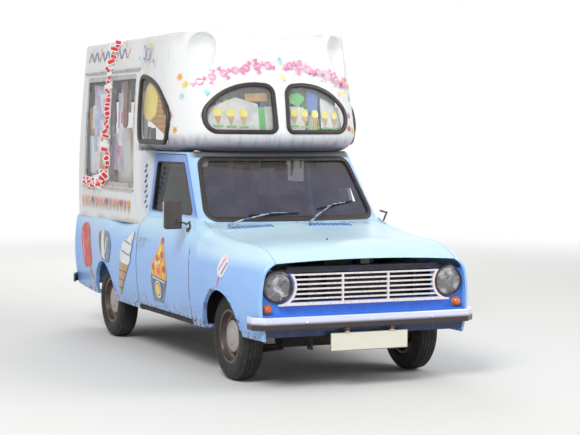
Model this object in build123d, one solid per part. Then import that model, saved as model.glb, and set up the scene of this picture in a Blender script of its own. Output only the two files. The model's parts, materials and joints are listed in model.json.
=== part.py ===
from build123d import *
import os

# A small forward-engined ice cream van. The lower body is pressed steel, with a hinged bonnet,
# two cab doors and two rear half doors. A moulded plastic upper body carries the serving windows
# and runs forward over the cab as a pod with two curved windows.
# Millimetres. Origin on the ground under the middle of the vehicle, front towards -Y, +Z up,
# so the vehicle's right side is at -X.

# Driving dimensions
LENGTH = 3815.0
FRONT_Y = -LENGTH / 2
REAR_Y = LENGTH / 2
WHEELBASE = 2324.0
FRONT_AXLE_Y = FRONT_Y + 625.0
REAR_AXLE_Y = FRONT_AXLE_Y + WHEELBASE
TYRE_R = 272.0
TYRE_W = 145.0
HUB_Z = TYRE_R
FRONT_WHEEL_X = 602.0
REAR_WHEEL_X = 612.0
KINGPIN_X = 488.0
FRONT_ARCH_R = 290.0
REAR_ARCH_R = 294.0
GAP = 5.0

# Stations along the body
NOSE_Y = -1850.0
BONNET_REAR_Y = -985.0
FIREWALL_Y = -815.0
DOOR_FRONT_Y = -790.0
DOOR_REAR_Y = 250.0
BODY_FRONT_Y = 258.0
POD_REAR_Y = 398.0
SERVE_FRONT_Y = 418.0
SERVE_REAR_Y = 1625.0
TAIL_WALL_Y = 1812.0
TAIL_Y = 1850.0

# Heights
FLOOR_Z = 290.0
SILL_TOP_Z = 316.0
DOOR_BOTTOM_Z = 322.0
LOAD_FLOOR_Z = 420.0
WAIST_Z = 880.0
WHEEL_BOX_Z = 650.0
SHELF_Z = 1128.0
DOOR_TOP_Z = 1378.0
CAB_TOP_Z = 1396.0
POD_BOTTOM_Z = 1402.0
SERVE_TOP_Z = 1945.0
FASCIA_Z = 1985.0
ROOF_Z = 2212.0
ROOF_DIP = 36.0

# Wall thicknesses
SKIN = 20.0
DOOR_T = 45.0
PILLAR_T = 36.0
MOULDING_T = 28.0
GLASS_T = 6.0

BONNET_HALF_W = 600.0


# Flat outlines pushed along one axis. A radius, or one radius for each corner, rounds the corners.
def outline(points, radius):
    if not radius:
        return make_face(Polyline(*points, close=True))
    return make_face(FilletPolyline(*points, radius=radius, close=True))


def prism_x(points, x0, x1, radius=0):
    plane = Plane(origin=(x0, 0, 0), x_dir=(0, 1, 0), z_dir=(1, 0, 0))
    return extrude(plane * outline(points, radius), amount=x1 - x0, dir=(1, 0, 0))


def prism_y(points, y0, y1, radius=0):
    plane = Plane(origin=(0, y0, 0), x_dir=(1, 0, 0), z_dir=(0, -1, 0))
    return extrude(plane * outline(points, radius), amount=y1 - y0, dir=(0, 1, 0))


def prism_z(points, z0, z1, radius=0):
    plane = Plane(origin=(0, 0, z0), x_dir=(1, 0, 0), z_dir=(0, 0, 1))
    return extrude(plane * outline(points, radius), amount=z1 - z0, dir=(0, 0, 1))


def block(x0, x1, y0, y1, z0, z1):
    centre = ((x0 + x1) / 2, (y0 + y1) / 2, (z0 + z1) / 2)
    return Pos(*centre) * Box(abs(x1 - x0), abs(y1 - y0), abs(z1 - z0))


def rod_x(radius, x0, x1, y, z):
    return Pos((x0 + x1) / 2, y, z) * (Rot(0, 90, 0) * Cylinder(radius, abs(x1 - x0)))


def rod_y(radius, y0, y1, x, z):
    return Pos(x, (y0 + y1) / 2, z) * (Rot(90, 0, 0) * Cylinder(radius, abs(y1 - y0)))


def rod_z(radius, z0, z1, x, y):
    return Pos(x, y, (z0 + z1) / 2) * Cylinder(radius, abs(z1 - z0))


def rod(radius, start, end):
    run = Vector(*end) - Vector(*start)
    plane = Plane(origin=start, z_dir=run)
    return extrude(plane * Circle(radius), amount=run.length)


# A rod with slightly swollen bends
def bent_rod(radius, route):
    made = rod(radius, route[0], route[1])
    for start, end in zip(route[1:], route[2:]):
        made = made + Pos(*start) * Sphere(1.2 * radius) + rod(radius, start, end)
    return made


def soften(solid, edges, radii):
    for radius in radii:
        try:
            made = fillet(edges, radius)
            if made.is_valid:
                return made
        except Exception:
            continue
    print("left sharp:", len(edges), "edges")
    return solid


def mirrored(shape):
    return mirror(shape, Plane.YZ)


def save(name, shape):
    solids = shape.solids()
    whole = solids[0] if len(solids) == 1 else Compound(children=list(solids))
    export_step(whole, "parts/" + name + ".step")


def save_pair(name, right_side):
    save(name + "_right", right_side)
    save(name + "_left", mirrored(right_side))


# The lower body's cross sections, widest at the door.
# Columns: y, half width, height of the widest point, sill half width, sill height,
# half width and height where the shoulder starts, half width and height of the deck edge, crown height
SECTIONS = (
    (NOSE_Y, 706, 560, 676, 305, 694, 665, 612, 766, 784),
    (-1680, 717, 575, 685, 304, 706, 708, 623, 838, 858),
    (FRONT_AXLE_Y, 744, 600, 706, 300, 733, 742, 645, 868, 890),
    (DOOR_FRONT_Y, 750, 640, 710, 290, 736, 812, 655, 940, 958),
    (DOOR_REAR_Y, 750, 640, 712, 290, 736, 818, 657, 945, 958),
    (REAR_AXLE_Y, 744, 640, 708, 296, 730, 818, 652, 945, 958),
    (TAIL_Y, 716, 640, 684, 332, 704, 818, 630, 945, 958),
)
SHOULDER_BULGE = 13.0


def body_section(row, inset):
    y, wide, wide_z, sill, sill_z, turn, turn_z, deck, deck_z, crown = row
    wide, sill, turn, deck = (v - inset for v in (wide, sill, turn, deck))
    sill_z += inset
    turn_z -= 0.3 * inset
    deck_z -= inset
    crown -= inset
    mid_x = (turn + deck) / 2 + SHOULDER_BULGE
    mid_z = (turn_z + deck_z) / 2 + SHOULDER_BULGE
    edges = [
        Line((-sill, y, sill_z), (sill, y, sill_z)),
        ThreePointArc((sill, y, sill_z), (wide, y, wide_z), (turn, y, turn_z)),
        ThreePointArc((turn, y, turn_z), (mid_x, y, mid_z), (deck, y, deck_z)),
        ThreePointArc((deck, y, deck_z), (0, y, crown), (-deck, y, deck_z)),
        ThreePointArc((-deck, y, deck_z), (-mid_x, y, mid_z), (-turn, y, turn_z)),
        ThreePointArc((-turn, y, turn_z), (-wide, y, wide_z), (-sill, y, sill_z)),
    ]
    return Wire(edges)


def carried_on(end, neighbour, distance):
    share = distance / (end[0] - neighbour[0])
    return tuple(a + (a - b) * share for a, b in zip(end, neighbour))


# An inset form runs past the nose and the tail, so that what it leaves is open at both ends.
def lower_form(inset):
    rows = list(SECTIONS)
    if inset:
        rows[0] = carried_on(rows[0], rows[1], -60)
        rows[-1] = carried_on(rows[-1], rows[-2], 60)
    return Solid.make_loft([body_section(row, inset) for row in rows])


outer_form = lower_form(0)
nose_rim = [e for e in outer_form.faces().sort_by(Axis.Y)[0].edges() if e.center().Z > SECTIONS[0][4] + 1]
outer_form = soften(outer_form, nose_rim, (26, 18, 10))
tail_rim = [e for e in outer_form.faces().sort_by(Axis.Y)[-1].edges() if e.center().Z > SECTIONS[-1][4] + 1]
outer_form = soften(outer_form, tail_rim, (80, 60, 40))
inner_form = lower_form(SKIN)
door_inner_form = lower_form(DOOR_T)
panel_shell = outer_form - inner_form
door_shell = outer_form - door_inner_form

front_arches = rod_x(FRONT_ARCH_R, -900, 900, FRONT_AXLE_Y, HUB_Z)
rear_arches = rod_x(REAR_ARCH_R, -900, 900, REAR_AXLE_Y, HUB_Z)


# Rolled lips round the wheel arches
LIP_W = 16.0
LIP_T = 5.0
lip_skin = lower_form(-LIP_T) - inner_form


def arch_lip(radius, axle_y):
    ring = rod_x(radius + LIP_W, -900, -640, axle_y, HUB_Z) - rod_x(radius, -900, -640, axle_y, HUB_Z)
    ring = ring & block(-900, -640, axle_y - 400, axle_y + 400, 340, 900)
    return (lip_skin & ring).solids().sort_by(SortBy.VOLUME)[-1]


# The cab's glasshouse, from the plan of its base to the plan of its top
def cab_outline(z, front_y, corner_x, corner_y, side_x, side_y, inset):
    fy = front_y + inset
    cx = corner_x - 0.55 * inset
    cy = corner_y + 0.8 * inset
    sx = side_x - inset
    mx = (cx + sx) / 2 + 0.16 * (sx - cx)
    my = (cy + side_y) / 2 - 0.16 * (side_y - cy)
    rear = DOOR_REAR_Y
    edges = [
        Line((sx, rear, z), (sx, side_y, z)),
        ThreePointArc((sx, side_y, z), (mx, my, z), (cx, cy, z)),
        ThreePointArc((cx, cy, z), (0, fy, z), (-cx, cy, z)),
        ThreePointArc((-cx, cy, z), (-mx, my, z), (-sx, side_y, z)),
        Line((-sx, side_y, z), (-sx, rear, z)),
        Line((-sx, rear, z), (sx, rear, z)),
    ]
    return Wire(edges)


# Columns: height, front at the middle, corner x, corner y, side x, where the side starts
CAB_BASE = (930.0, -874.0, 608.0, -770.0, 661.0, -690.0)
CAB_TOP = (CAB_TOP_Z, -468.0, 552.0, -402.0, 602.0, -330.0)


def cab_form(inset):
    return Solid.make_loft([cab_outline(*CAB_BASE, inset), cab_outline(*CAB_TOP, inset)], ruled=True)


cab_shell = cab_form(0) - cab_form(PILLAR_T)
screen_hole = prism_y([(-610, 961), (610, 961), (546, 1360), (-546, 1360)], -1000, -300, 64)

# Door outline, seen from the side
DOOR_OUTLINE = [
    (DOOR_FRONT_Y, DOOR_BOTTOM_Z),
    (DOOR_REAR_Y, DOOR_BOTTOM_Z),
    (DOOR_REAR_Y, 850),
    (DOOR_REAR_Y - 14, 880),
    (DOOR_REAR_Y - 14, DOOR_TOP_Z),
    (-362, DOOR_TOP_Z),
    (-705, 948),
    (DOOR_FRONT_Y, 905),
]
DOOR_HOLE = [
    (DOOR_FRONT_Y - GAP, DOOR_BOTTOM_Z - GAP),
    (BODY_FRONT_Y, DOOR_BOTTOM_Z - GAP),
    (BODY_FRONT_Y, DOOR_TOP_Z + GAP),
    (-365, DOOR_TOP_Z + GAP),
    (-711, 951),
    (DOOR_FRONT_Y - GAP, 908),
]
DOOR_WINDOW = [(-632, 985), (186, 985), (186, 1328), (-352, 1328)]
door_block = prism_x(DOOR_OUTLINE, -900, -640, [20, 20, 8, 8, 34, 34, 20, 20])
door_top_block = prism_x(DOOR_OUTLINE, -900, -300, [20, 20, 8, 8, 34, 34, 20, 20])
door_hole = prism_x(DOOR_HOLE, -900, -300, [20, 20, 34, 34, 20, 20])
door_window = prism_x(DOOR_WINDOW, -900, -300, 30)
MIRROR_ROD_R = 6.0


def build_doors():
    lower = door_shell & door_block & block(-900, -300, -1000, 400, 300, 944)
    upper = cab_shell & door_top_block & block(-900, -300, -720, 400, 930, 1390)
    ledge = block(-652, -624, -690, DOOR_REAR_Y - 14, 932, 950) & door_top_block
    save_pair("door", (lower + upper + ledge) - door_window)
    glass_wall = cab_form(PILLAR_T / 2 - GLASS_T / 2) - cab_form(PILLAR_T / 2 + GLASS_T / 2)
    save_pair("door_glass", glass_wall & door_window)
    # A pull handle on two feet
    bar = block(-786, -776, 62, 192, 782, 796)
    bar = soften(bar, bar.edges().filter_by(Axis.Y), (4,))
    feet = block(-778, -738, 68, 88, 780, 798) + block(-778, -738, 166, 186, 780, 798)
    handle = ((bar + feet) - outer_form).solids().sort_by(SortBy.VOLUME)[-1]
    # The driver's mirror: its head hangs on a bent arm from the top of the door's front corner
    head = block(-894, -778, -762, -730, 908, 1092)
    head = soften(head, head.edges(), (11, 7))
    route = [(-700, -694, 900), (-706, -700, 948), (-752, -768, 940), (-806, -768, 962)]
    right_arm = bent_rod(MIRROR_ROD_R, route) + rod_y(11, -776, -760, -806, 962)
    foot = block(-722, -682, -712, -680, 884, 912)
    right_mirror = ((head + right_arm + foot) - outer_form).solids().sort_by(SortBy.VOLUME)[-1]
    save("door_fittings_right", Compound(children=[handle, right_mirror]))
    # The nearside mirror has lost its head, so only a bent stalk stands on the door
    route = [(700, -694, 900), (730, -708, 988), (694, -676, 1000)]
    left_stalk = bent_rod(MIRROR_ROD_R, route) + mirrored(foot)
    left_stalk = (left_stalk - outer_form).solids().sort_by(SortBy.VOLUME)[-1]
    save("door_fittings_left", Compound(children=[mirrored(handle), left_stalk]))


def build_front():
    # Front wings: the side skin, a strip of the top beside the bonnet, and the wheel's inner wall
    skin = panel_shell & block(-900, 0, NOSE_Y - 50, -690, 250, 1000)
    skin = skin - block(-BONNET_HALF_W - GAP, 900, -2000, 0, 600, 1000)
    skin = skin - block(-660, 900, -2000, 0, 200, 620) - front_arches - door_hole - cab_form(0)
    skin = skin - block(-900, 0, DOOR_FRONT_Y - GAP, 0, 200, SILL_TOP_Z + 1)
    skin = skin.solids().sort_by(SortBy.VOLUME)[-1] + arch_lip(FRONT_ARCH_R, FRONT_AXLE_Y)
    skin = skin.solids().sort_by(SortBy.VOLUME)[-1]
    wall = block(-362, -350, -1792, FIREWALL_Y, 400, 720)
    shelf = block(-362, -620, -1792, FIREWALL_Y, 708, 720)
    inner = ((wall + shelf) & inner_form) - panel_shell
    save_pair("front_wing", Compound(children=[skin, inner.solids().sort_by(SortBy.VOLUME)[-1]]))
    # Bonnet, hinged along its rear edge
    bonnet = panel_shell & block(-BONNET_HALF_W, BONNET_HALF_W, NOSE_Y - 50, BONNET_REAR_Y, 600, 1000)
    for side in (-1, 1):
        bonnet = bonnet - rod_y(LAMP_R + GAP, -1900, -1780, side * LAMP_X, LAMP_Z)
    catch = block(-30, 30, NOSE_Y + 28, NOSE_Y + 40, 745, 792)
    save("bonnet", bonnet + catch)
    # Nose panel: a recessed lamp and grille panel above, a valance behind the bumper below
    profile = [
        (LAMP_Y, 716), (LAMP_Y + 12, 716), (LAMP_Y + 12, 444), (-1832, 444), (-1832, 318), (-1770, 306),
        (-1770, 294), (-1844, 304), (-1844, 456), (LAMP_Y, 456),
    ]
    nose = prism_x(profile, -700, 700) & inner_form
    for side in (-1, 1):
        nose = nose - rod_y(LAMP_R - 8, -1900, -1700, side * LAMP_X, LAMP_Z)
    nose = nose - prism_y([(-466, 530), (466, 530), (466, 700), (-466, 700)], -1900, -1700, 12)
    save("nose_panel", nose.solids().sort_by(SortBy.VOLUME)[-1])


# Lamps and grille
LAMP_X, LAMP_Z, LAMP_R = 575.0, 622.0, 98.0
LAMP_Y = -1804.0
GRILLE_BARS = 6
GRILLE_PITCH = 28.5
GRILLE_ARC_R = 118.0
GRILLE_ARC_W = 14.0
GRILLE_LOW_Z = 520.0
GRILLE_Y = -1832.0
INDICATOR_X, INDICATOR_Z = 638.0, 490.0
REAR_LAMP_X = 601.0


def build_lamps_and_grille():
    rims, lenses, indicators, rear_lamps = [], [], [], []
    for side in (-1, 1):
        at = Pos(side * LAMP_X, LAMP_Y, LAMP_Z)
        ring = at * revolve(Plane.XY * make_face(Polyline(
            (LAMP_R - 12, 0), (LAMP_R, 0), (LAMP_R, -10), (LAMP_R - 5, -22), (LAMP_R - 14, -26),
            (LAMP_R - 14, -18), close=True)), Axis.Y)
        bowl = at * revolve(Plane.XY * make_face(Polyline(
            (0, 70), (40, 64), (72, 40), (LAMP_R - 9, 2), (LAMP_R - 9, -4), (LAMP_R - 15, -4),
            (66, 36), (36, 58), (0, 64), close=True)), Axis.Y)
        rims.append(ring + bowl)
        arc = ThreePointArc((0, -34), (46, -30), (LAMP_R - 15, -18))
        lens_face = make_face(arc + Polyline((LAMP_R - 15, -18), (LAMP_R - 15, -12), (0, -28)) +
                              Line((0, -28), (0, -34)))
        lenses.append(at * revolve(lens_face, Axis.Y))
        lamp = revolve(make_face(Polyline((0, 0), (31, 0), (31, -8), (26, -12), (24, -26), (14, -36),
                                          (0, -39), close=True)), Axis.Y)
        indicators.append(Pos(side * INDICATOR_X, LAMP_Y, INDICATOR_Z) * lamp)
        tail_lamp = revolve(make_face(Polyline((0, 0), (36, 0), (36, 8), (31, 14), (20, 24), (0, 27),
                                               close=True)), Axis.Y)
        for height in (600, 690):
            rear_lamps.append(Pos(side * REAR_LAMP_X, TAIL_Y, height) * tail_lamp)
    save("headlamp_rims", Compound(children=rims))
    save("headlamp_lenses", Compound(children=lenses))
    save("front_indicators", Compound(children=indicators))
    save("rear_lamps", Compound(children=rear_lamps))

    top_z = GRILLE_LOW_Z + GRILLE_PITCH * GRILLE_BARS
    bars = block(-540, 540, GRILLE_Y - 8, GRILLE_Y + 14, GRILLE_LOW_Z - 11, GRILLE_LOW_Z + 7)
    for index in range(1, GRILLE_BARS + 1):
        z = GRILLE_LOW_Z + GRILLE_PITCH * index
        bars = bars + block(-540, 540, GRILLE_Y - 4, GRILLE_Y + 10, z - 5, z + 5)
    for x in (-153, 153):
        bars = bars + block(x - 6, x + 6, GRILLE_Y - 6, GRILLE_Y + 12, GRILLE_LOW_Z, top_z)
    frame_zone = block(-LAMP_X, LAMP_X, -1900, -1700, GRILLE_LOW_Z - 11, top_z + 5)
    for side in (-1, 1):
        ring = rod_y(GRILLE_ARC_R, GRILLE_Y - 8, GRILLE_Y + 14, side * LAMP_X, LAMP_Z)
        bars = bars + (ring & frame_zone)
    for side in (-1, 1):
        bars = bars - rod_y(GRILLE_ARC_R - GRILLE_ARC_W, -1900, -1700, side * LAMP_X, LAMP_Z)
    stays = [block(x - 8, x + 8, GRILLE_Y + 10, LAMP_Y, GRILLE_LOW_Z - 9, GRILLE_LOW_Z + 5)
             for x in (-430, 0, 430)]
    for stay in stays:
        bars = bars + stay
    save("grille", bars)


def build_bumpers_and_plates():
    # Front bumper: a bowed channel with wrapped ends, carried by two irons from the valance
    outer = [(-746, -1762), (-746, -1832), (-680, -1893), (-300, FRONT_Y), (300, FRONT_Y),
             (680, -1893), (746, -1832), (746, -1762)]
    rear_edge = [(726, -1762), (726, -1824), (672, -1873), (300, -1886), (-300, -1886), (-672, -1873),
                 (-726, -1824), (-726, -1762)]
    bar = prism_z(outer + rear_edge, 372, 450)
    long_edges = [e for e in bar.edges() if abs(e.tangent_at(0.5).Z) < 0.1]
    bar = soften(bar, long_edges, (8, 6, 4))
    for x in (-420, 420):
        bar = bar + block(x - 20, x + 20, -1890, -1844, 395, 427)
    save("front_bumper", bar)
    # Rear quarter bumpers, each on one iron
    corner = prism_z([(-586, REAR_Y - 14), (-586, REAR_Y), (-650, REAR_Y), (-722, 1880), (-742, 1790),
                      (-728, 1790), (-710, 1870), (-646, 1893)], 345, 413)
    iron = block(-640, -610, TAIL_Y, 1898, 362, 392)
    save("rear_bumpers", Compound(children=[corner + iron, mirrored(corner + iron)]))
    # Blank number plates: the front one on two straps from the bumper, the rear one on the left door
    front = block(-260, 260, -1890, -1887, 232, 343)
    for x in (-150, 150):
        front = front + block(x - 12, x + 12, -1900, -1887, 343, 372) + block(x - 12, x + 12, -1887, -1884, 300, 372)
    save("front_plate", front)
    save("rear_plate", block(20, 540, TAIL_Y, TAIL_Y + 4, 470, 581))


def build_structure():
    # Floor with sills, tunnel and firewall
    sills = outer_form & block(-900, 900, DOOR_FRONT_Y - GAP, BODY_FRONT_Y, FLOOR_Z, SILL_TOP_Z)
    load_floor = block(-640, 640, BODY_FRONT_Y - 20, TAIL_WALL_Y, LOAD_FLOOR_Z - 24, LOAD_FLOOR_Z)
    riser = block(-640, 640, BODY_FRONT_Y - 20, BODY_FRONT_Y, 300, LOAD_FLOOR_Z)
    tunnel = prism_y([(-130, 300), (-95, 440), (95, 440), (130, 300)], FIREWALL_Y, BODY_FRONT_Y - 20, 18)
    firewall = inner_form & block(-900, 900, FIREWALL_Y, DOOR_FRONT_Y - GAP, 300, 905)
    floor = sills + load_floor + riser + tunnel + firewall
    tunnel_void = prism_y([(-112, 260), (-82, 424), (82, 424), (112, 260)], FIREWALL_Y - 10, BODY_FRONT_Y - 19, 12)
    shaft_hole = rod_y(50, BODY_FRONT_Y - 30, BODY_FRONT_Y + 10, 0, 304)
    floor = floor - tunnel_void - shaft_hole - rear_well_space()
    save("floor_pan", floor.solids().sort_by(SortBy.VOLUME)[-1])
    # Cab frame: screen pillars, roof rails and the cowl with its air slots
    frame = cab_shell - door_hole - mirrored(door_hole) - screen_hole
    cowl = panel_shell & block(-BONNET_HALF_W, BONNET_HALF_W, BONNET_REAR_Y + GAP, -700, 600, 1000)
    cowl = cowl - cab_form(PILLAR_T)
    slots = [block(x, x + 9, -945, -915, 860, 1000) for side in (-1, 1) for x in
             (side * 300 + step * 18 - 90 for step in range(11))]
    base = cowl - Compound(children=slots)
    cab = frame + base
    save("cab_frame", cab.solids().sort_by(SortBy.VOLUME)[-1])
    screen_wall = cab_form(10) - cab_form(10 + GLASS_T)
    save("windscreen", screen_wall & screen_hole & block(-700, 700, -1000, -380, 900, 1400))


def rear_well_space():
    return Compound(children=[block(side * 460, side * 760, REAR_AXLE_Y - 307, REAR_AXLE_Y + 307, 200, 640)
                              for side in (-1, 1)])


# The rear doors turn on barrel hinges, half of each barrel on the frame and half on the door.
REAR_HINGE_X, REAR_HINGE_Y = 560.0, 1856.0
HINGE_R = 6.0
HINGE_HEIGHTS = (400.0, 740.0)


def build_rear():
    # Rear quarters with their wheel boxes
    quarter = panel_shell & block(-900, -640, BODY_FRONT_Y, TAIL_WALL_Y, 250, WAIST_Z)
    quarter = quarter - rear_arches
    sill_strip = (outer_form & block(-900, -640, BODY_FRONT_Y, TAIL_WALL_Y, 250, SILL_TOP_Z)) - rear_arches
    quarter = quarter + sill_strip
    well = REAR_AXLE_Y
    box = block(-725, -460, well - 307, well + 307, LOAD_FLOOR_Z - 24, WHEEL_BOX_Z)
    box = (box & outer_form) - block(-900, -470, well - 297, well + 297, 200, WHEEL_BOX_Z - 12)
    box = box - panel_shell
    quarter = quarter + box + arch_lip(REAR_ARCH_R, REAR_AXLE_Y)
    save_pair("rear_quarter", quarter.solids().sort_by(SortBy.VOLUME)[-1])
    # Rear frame with an opening for two half doors
    frame = outer_form & block(-900, 900, TAIL_WALL_Y, TAIL_Y, 300, WAIST_Z)
    frame = frame - block(-562, 562, 1700, 1900, 352, 868)
    for z in HINGE_HEIGHTS:
        for side in (-1, 1):
            frame = frame + rod_z(HINGE_R, z, z + 30, side * REAR_HINGE_X, REAR_HINGE_Y)
            leaf_x = sorted((side * REAR_HINGE_X, side * (REAR_HINGE_X + 34)))
            frame = frame + block(*leaf_x, TAIL_Y, TAIL_Y + 3, z, z + 30)
    save("rear_panel", frame)
    door = block(-557, -3, 1818, TAIL_Y, 358, 862)
    pressing = prism_y([(-500, 410), (-60, 410), (-60, 810), (-500, 810)], TAIL_Y - 8, TAIL_Y + 10, 40)
    rib = prism_y([(-470, 440), (-90, 440), (-90, 780), (-470, 780)], TAIL_Y - 8, TAIL_Y, 30)
    handle = block(-60, -24, TAIL_Y, TAIL_Y + 22, 640, 656)
    door = (door - pressing) + rib
    for z in HINGE_HEIGHTS:
        door = door + rod_z(HINGE_R, z + 31, z + 61, -REAR_HINGE_X, REAR_HINGE_Y)
        door = door + block(-REAR_HINGE_X, -REAR_HINGE_X + 40, TAIL_Y, TAIL_Y + 3, z + 31, z + 61)
    save("rear_door_right", door + handle)
    save("rear_door_left", mirrored(door))


# The moulded upper body, as plans from the waist to the roof.
# Columns: height, front at the middle, front corner x and y, side x, where the side starts, rear, rear radius
UPPER = (
    (WAIST_Z, -600, 478, -524, 706, -172, 1836, 90),
    (1560, -592, 474, -519, 700, -170, 1816, 90),
    (1945, -511, 455, -440, 676, -105, 1792, 88),
    (ROOF_Z, -452, 436, -385, 656, -60, 1772, 86),
)
POD_ROLL = 130.0


def upper_outline(row, inset):
    z, front_y, corner_x, corner_y, side_x, side_y, rear_y, rear_r = row
    fy, cx, cy = front_y + inset, corner_x - 0.45 * inset, corner_y + 0.89 * inset
    sx, ry, rr = side_x - inset, rear_y - inset, rear_r - inset
    mx = (cx + sx) / 2 + 0.148 * (side_y - cy)
    my = (cy + side_y) / 2 - 0.148 * (sx - cx)
    k = rr * (1 - 0.70711)
    return Wire([
        ThreePointArc((-cx, cy, z), (0, fy, z), (cx, cy, z)),
        ThreePointArc((cx, cy, z), (mx, my, z), (sx, side_y, z)),
        Line((sx, side_y, z), (sx, ry - rr, z)),
        ThreePointArc((sx, ry - rr, z), (sx - k, ry - k, z), (sx - rr, ry, z)),
        Line((sx - rr, ry, z), (-sx + rr, ry, z)),
        ThreePointArc((-sx + rr, ry, z), (-sx + k, ry - k, z), (-sx, ry - rr, z)),
        Line((-sx, ry - rr, z), (-sx, side_y, z)),
        ThreePointArc((-sx, side_y, z), (-mx, my, z), (-cx, cy, z)),
    ])


def upper_form(inset):
    return Solid.make_loft([upper_outline(row, inset) for row in UPPER])


# A shallow trough along the roof leaves a raised rim at each side and the dip seen from the front.
def roof_trough(drop):
    half = 400
    face = make_face(Line((-half, ROOF_Z + 1 - drop), (half, ROOF_Z + 1 - drop)) +
                     ThreePointArc((-half, ROOF_Z + 1 - drop), (0, ROOF_Z - ROOF_DIP - drop),
                                   (half, ROOF_Z + 1 - drop)))
    plane = Plane(origin=(0, -900, 0), x_dir=(1, 0, 0), z_dir=(0, -1, 0))
    return extrude(plane * face, amount=3000, dir=(0, 1, 0))


# The front ends of the rims are scooped out, from a ball high on each corner to nothing lower down.
EAR_R = 110.0
EAR_TOP = (517.0, -400.0, 2107.0)
EAR_FOOT = (571.0, -492.0, 1930.0)


def ear_scoops(extra):
    scoop = rod(EAR_R + extra, EAR_TOP, EAR_FOOT) + Pos(*EAR_TOP) * Sphere(EAR_R + extra)
    return Compound(children=[scoop, mirrored(scoop)])


POD_WINDOW = [(-40, 1530), (-48, 1845), (-235, 1862), (-430, 1790), (-550, 1645), (-485, 1532)]
POD_WINDOW_RADII = [40, 60, 110, 150, 45, 60]
SIDE_WINDOW = [(352, 1700), (330, 1926), (120, 1905), (-120, 1800), (-285, 1640), (-225, 1458), (318, 1462)]
SIDE_WINDOW_RADII = [300, 30, 250, 250, 70, 45, 40]
FRAME_W = 34.0
SILL_REACH = 12.0
SILL_DROP = 20.0
SHELF_EDGE_X = 894.0


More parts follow.
